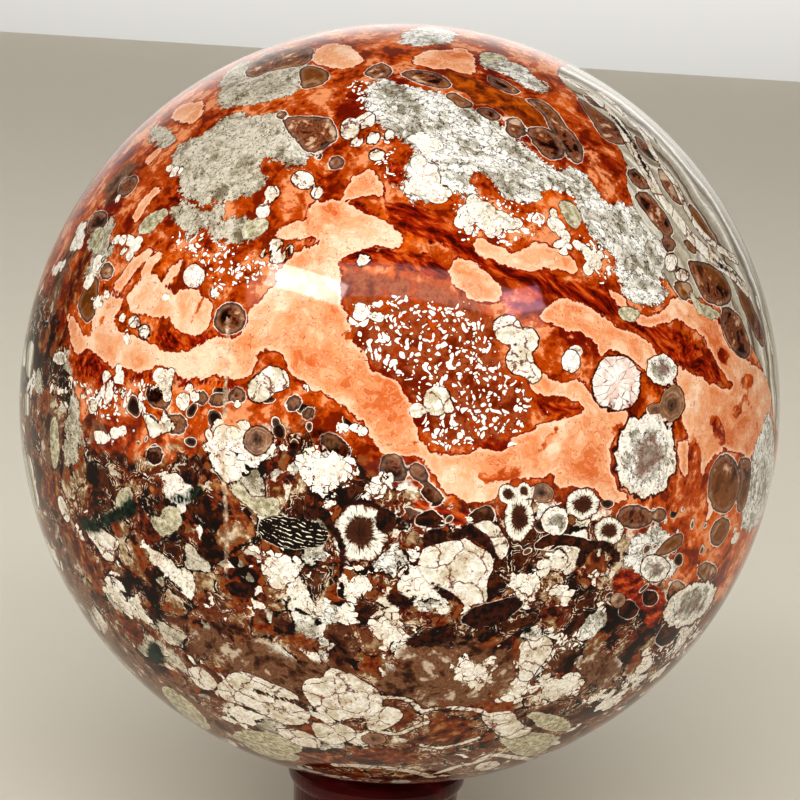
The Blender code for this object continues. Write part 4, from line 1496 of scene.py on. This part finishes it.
class AGATE_OT_stage(bpy.types.Operator):
    """Add the pale table, the wall, the soft lights and the camera"""

    bl_idname = "agate.stage"
    bl_label = "Stage"

    def execute(self, context):
        look = context.scene.stage_look
        if look.table_depth < BALL_RADIUS:
            raise RuntimeError("The table ends under the ball")
        add_room(look)
        add_lights(look)
        add_camera(context.scene)
        context.scene.view_settings.view_transform = "Standard"
        context.scene.view_settings.look = "High Contrast"
        return {"FINISHED"}


# The stage, in metres: how wide the table and the wall are to each side, how far the table comes
# forward, how far behind it the wall stands, and the wall's foot and top
TABLE_HALF_WIDTH = 2.0
TABLE_FRONT = 1.2
WALL_HALF_WIDTH = 4.0
WALL_GAP = 1.0
WALL_FOOT = -2.0
WALL_TOP = 3.0
# The brighter pane and the pink glint show in the polish only, with these shares of the window's power
PANE_SHARE = 0.55
GLINT_SHARE = 0.12
GLINT_COLOUR = (0.95, 0.66, 1.0)
ROOM_COLOUR = (1.0, 0.95, 0.86, 1.0)


def slab(name, low, high, material):
    """A flat rectangle between two corners, which share one coordinate."""
    low, high = Vector(low), Vector(high)
    flat = min(range(3), key=lambda axis: abs(high[axis] - low[axis]))
    u, v = (axis for axis in range(3) if axis != flat)
    corners = []
    for a, b in ((low, low), (high, low), (high, high), (low, high)):
        corner = low.copy()
        corner[u] = a[u]
        corner[v] = b[v]
        corners.append(corner)
    mesh = bpy.data.meshes.new(name)
    mesh.from_pydata(corners, [], [(0, 1, 2, 3)])
    mesh.materials.append(material)
    return link(bpy.data.objects.new(name, mesh))


def add_room(look):
    """A pale table that ends behind the ball, and a near-white wall beyond it."""
    table = plain_material("pale_matt_table", look.table, 0.85)
    wall = plain_material("near_white_wall", look.wall, 0.9)
    far = look.table_depth
    beyond = far + WALL_GAP
    floor = slab("table", (-TABLE_HALF_WIDTH, -TABLE_FRONT, 0.0), (TABLE_HALF_WIDTH, far, 0.0), table)
    back = slab("wall", (-WALL_HALF_WIDTH, beyond, WALL_FOOT), (WALL_HALF_WIDTH, beyond, WALL_TOP), wall)


def add_light(name, azimuth, height, distance, size, power, lights=True, mirrored=False):
    """A soft rectangular light that faces the ball. Its direction is in degrees round from the front and
    up, and it may light the scene, show in the polish, or both."""
    lamp = bpy.data.lights.new(name, "AREA")
    lamp.shape = "RECTANGLE"
    lamp.size, lamp.size_y = size
    lamp.energy = power
    light = link(bpy.data.objects.new(name, lamp))
    turn, rise = math.radians(azimuth), math.radians(height)
    out = Vector((math.sin(turn) * math.cos(rise), -math.cos(turn) * math.cos(rise), math.sin(rise)))
    light.location = Vector(BALL_CENTRE) + out * distance
    light.rotation_euler = (-out).to_track_quat("-Z", "Y").to_euler()
    light.visible_glossy = mirrored
    light.visible_diffuse = lights
    return light


def add_lights(look):
    """A long low window in front and above, a broad front light, a ceiling light and an even room."""
    window = look.window_power
    add_light("window", -4.0, 46.5, 1.6, (2.8, 0.28), window, mirrored=True)
    add_light("bright_pane", -37.0, 41.0, 1.5, (0.6, 0.17), PANE_SHARE * window, False, True)
    glint = add_light("pink_glint", 42.0, 39.0, 1.5, (0.3, 0.17), GLINT_SHARE * window, False, True)
    glint.data.color = GLINT_COLOUR
    add_light("front", -10.0, 22.0, 1.4, (1.6, 1.1), look.front_power)
    add_light("left_side", -75.0, 30.0, 1.6, (1.6, 1.4), look.side_power)
    add_light("right_side", 75.0, 30.0, 1.6, (1.6, 1.4), look.side_power)
    add_light("ceiling", 2.0, 54.0, 1.35, (1.9, 1.9), look.ceiling_power)
    # Above the table's far end, turned away from the ball and straight at the wall
    wash_light = add_light("wall_wash", 180.0, 20.0, 2.28, (3.0, 0.8), look.wall_power)
    wash_light.rotation_euler = (math.radians(90), 0.0, 0.0)
    world = bpy.data.worlds.new("room_light")
    world.use_nodes = True
    background = world.node_tree.nodes["Background"]
    background.inputs["Color"].default_value = ROOM_COLOUR
    background.inputs["Strength"].default_value = look.sky
    bpy.context.scene.world = world


def add_camera(scene):
    """The photograph's own view: 12 degrees down on the ball's centre, slightly rolled."""
    lens = bpy.data.cameras.new("photo_view")
    lens.lens = lens.sensor_width * LENS_PIXELS / PHOTO_SIDE
    lens.shift_x = (PHOTO_SIDE / 2 - OUTLINE_CENTRE[0]) / PHOTO_SIDE
    lens.shift_y = (OUTLINE_CENTRE[1] - PHOTO_SIDE / 2) / PHOTO_SIDE
    lens.clip_start = 0.01
    camera = link(bpy.data.objects.new("photo_view", lens))
    side = math.cos(VIEW_ROLL) * VIEW_RIGHT + math.sin(VIEW_ROLL) * VIEW_UP
    top = math.cos(VIEW_ROLL) * VIEW_UP - math.sin(VIEW_ROLL) * VIEW_RIGHT
    turn = Matrix((side, top, TO_CAMERA)).transposed().to_4x4()
    camera.matrix_world = Matrix.Translation(BALL_CENTRE + TO_CAMERA * BALL_RADIUS * VIEW_DISTANCE) @ turn
    scene.camera = camera


LOOKS = {"agate_look": AgateLook, "stand_look": StandLook, "stage_look": StageLook}
PIECES = (AGATE_OT_ball, AGATE_OT_stand, AGATE_OT_stage)


class AGATE_PT_panel(bpy.types.Panel):
    """The pieces and their looks in the 3D view's sidebar"""

    bl_label = "Money agate ball"
    bl_space_type = "VIEW_3D"
    bl_region_type = "UI"
    bl_category = "Agate"

    def draw(self, context):
        for look_name, piece in zip(LOOKS, PIECES):
            look = getattr(context.scene, look_name)
            box = self.layout.box()
            for name in look.__annotations__:
                box.prop(look, name)
            box.operator(piece.bl_idname)


CLASSES = (*LOOKS.values(), *PIECES, AGATE_PT_panel)


def register():
    for cls in CLASSES:
        bpy.utils.register_class(cls)
    for name, look in LOOKS.items():
        setattr(bpy.types.Scene, name, PointerProperty(type=look))


def unregister():
    for name in LOOKS:
        delattr(bpy.types.Scene, name)
    for cls in reversed(CLASSES):
        bpy.utils.unregister_class(cls)


def main():
    register()
    bpy.ops.agate.ball()
    bpy.ops.agate.stand()
    bpy.ops.agate.stage()


if __name__ == "__main__":
    main()
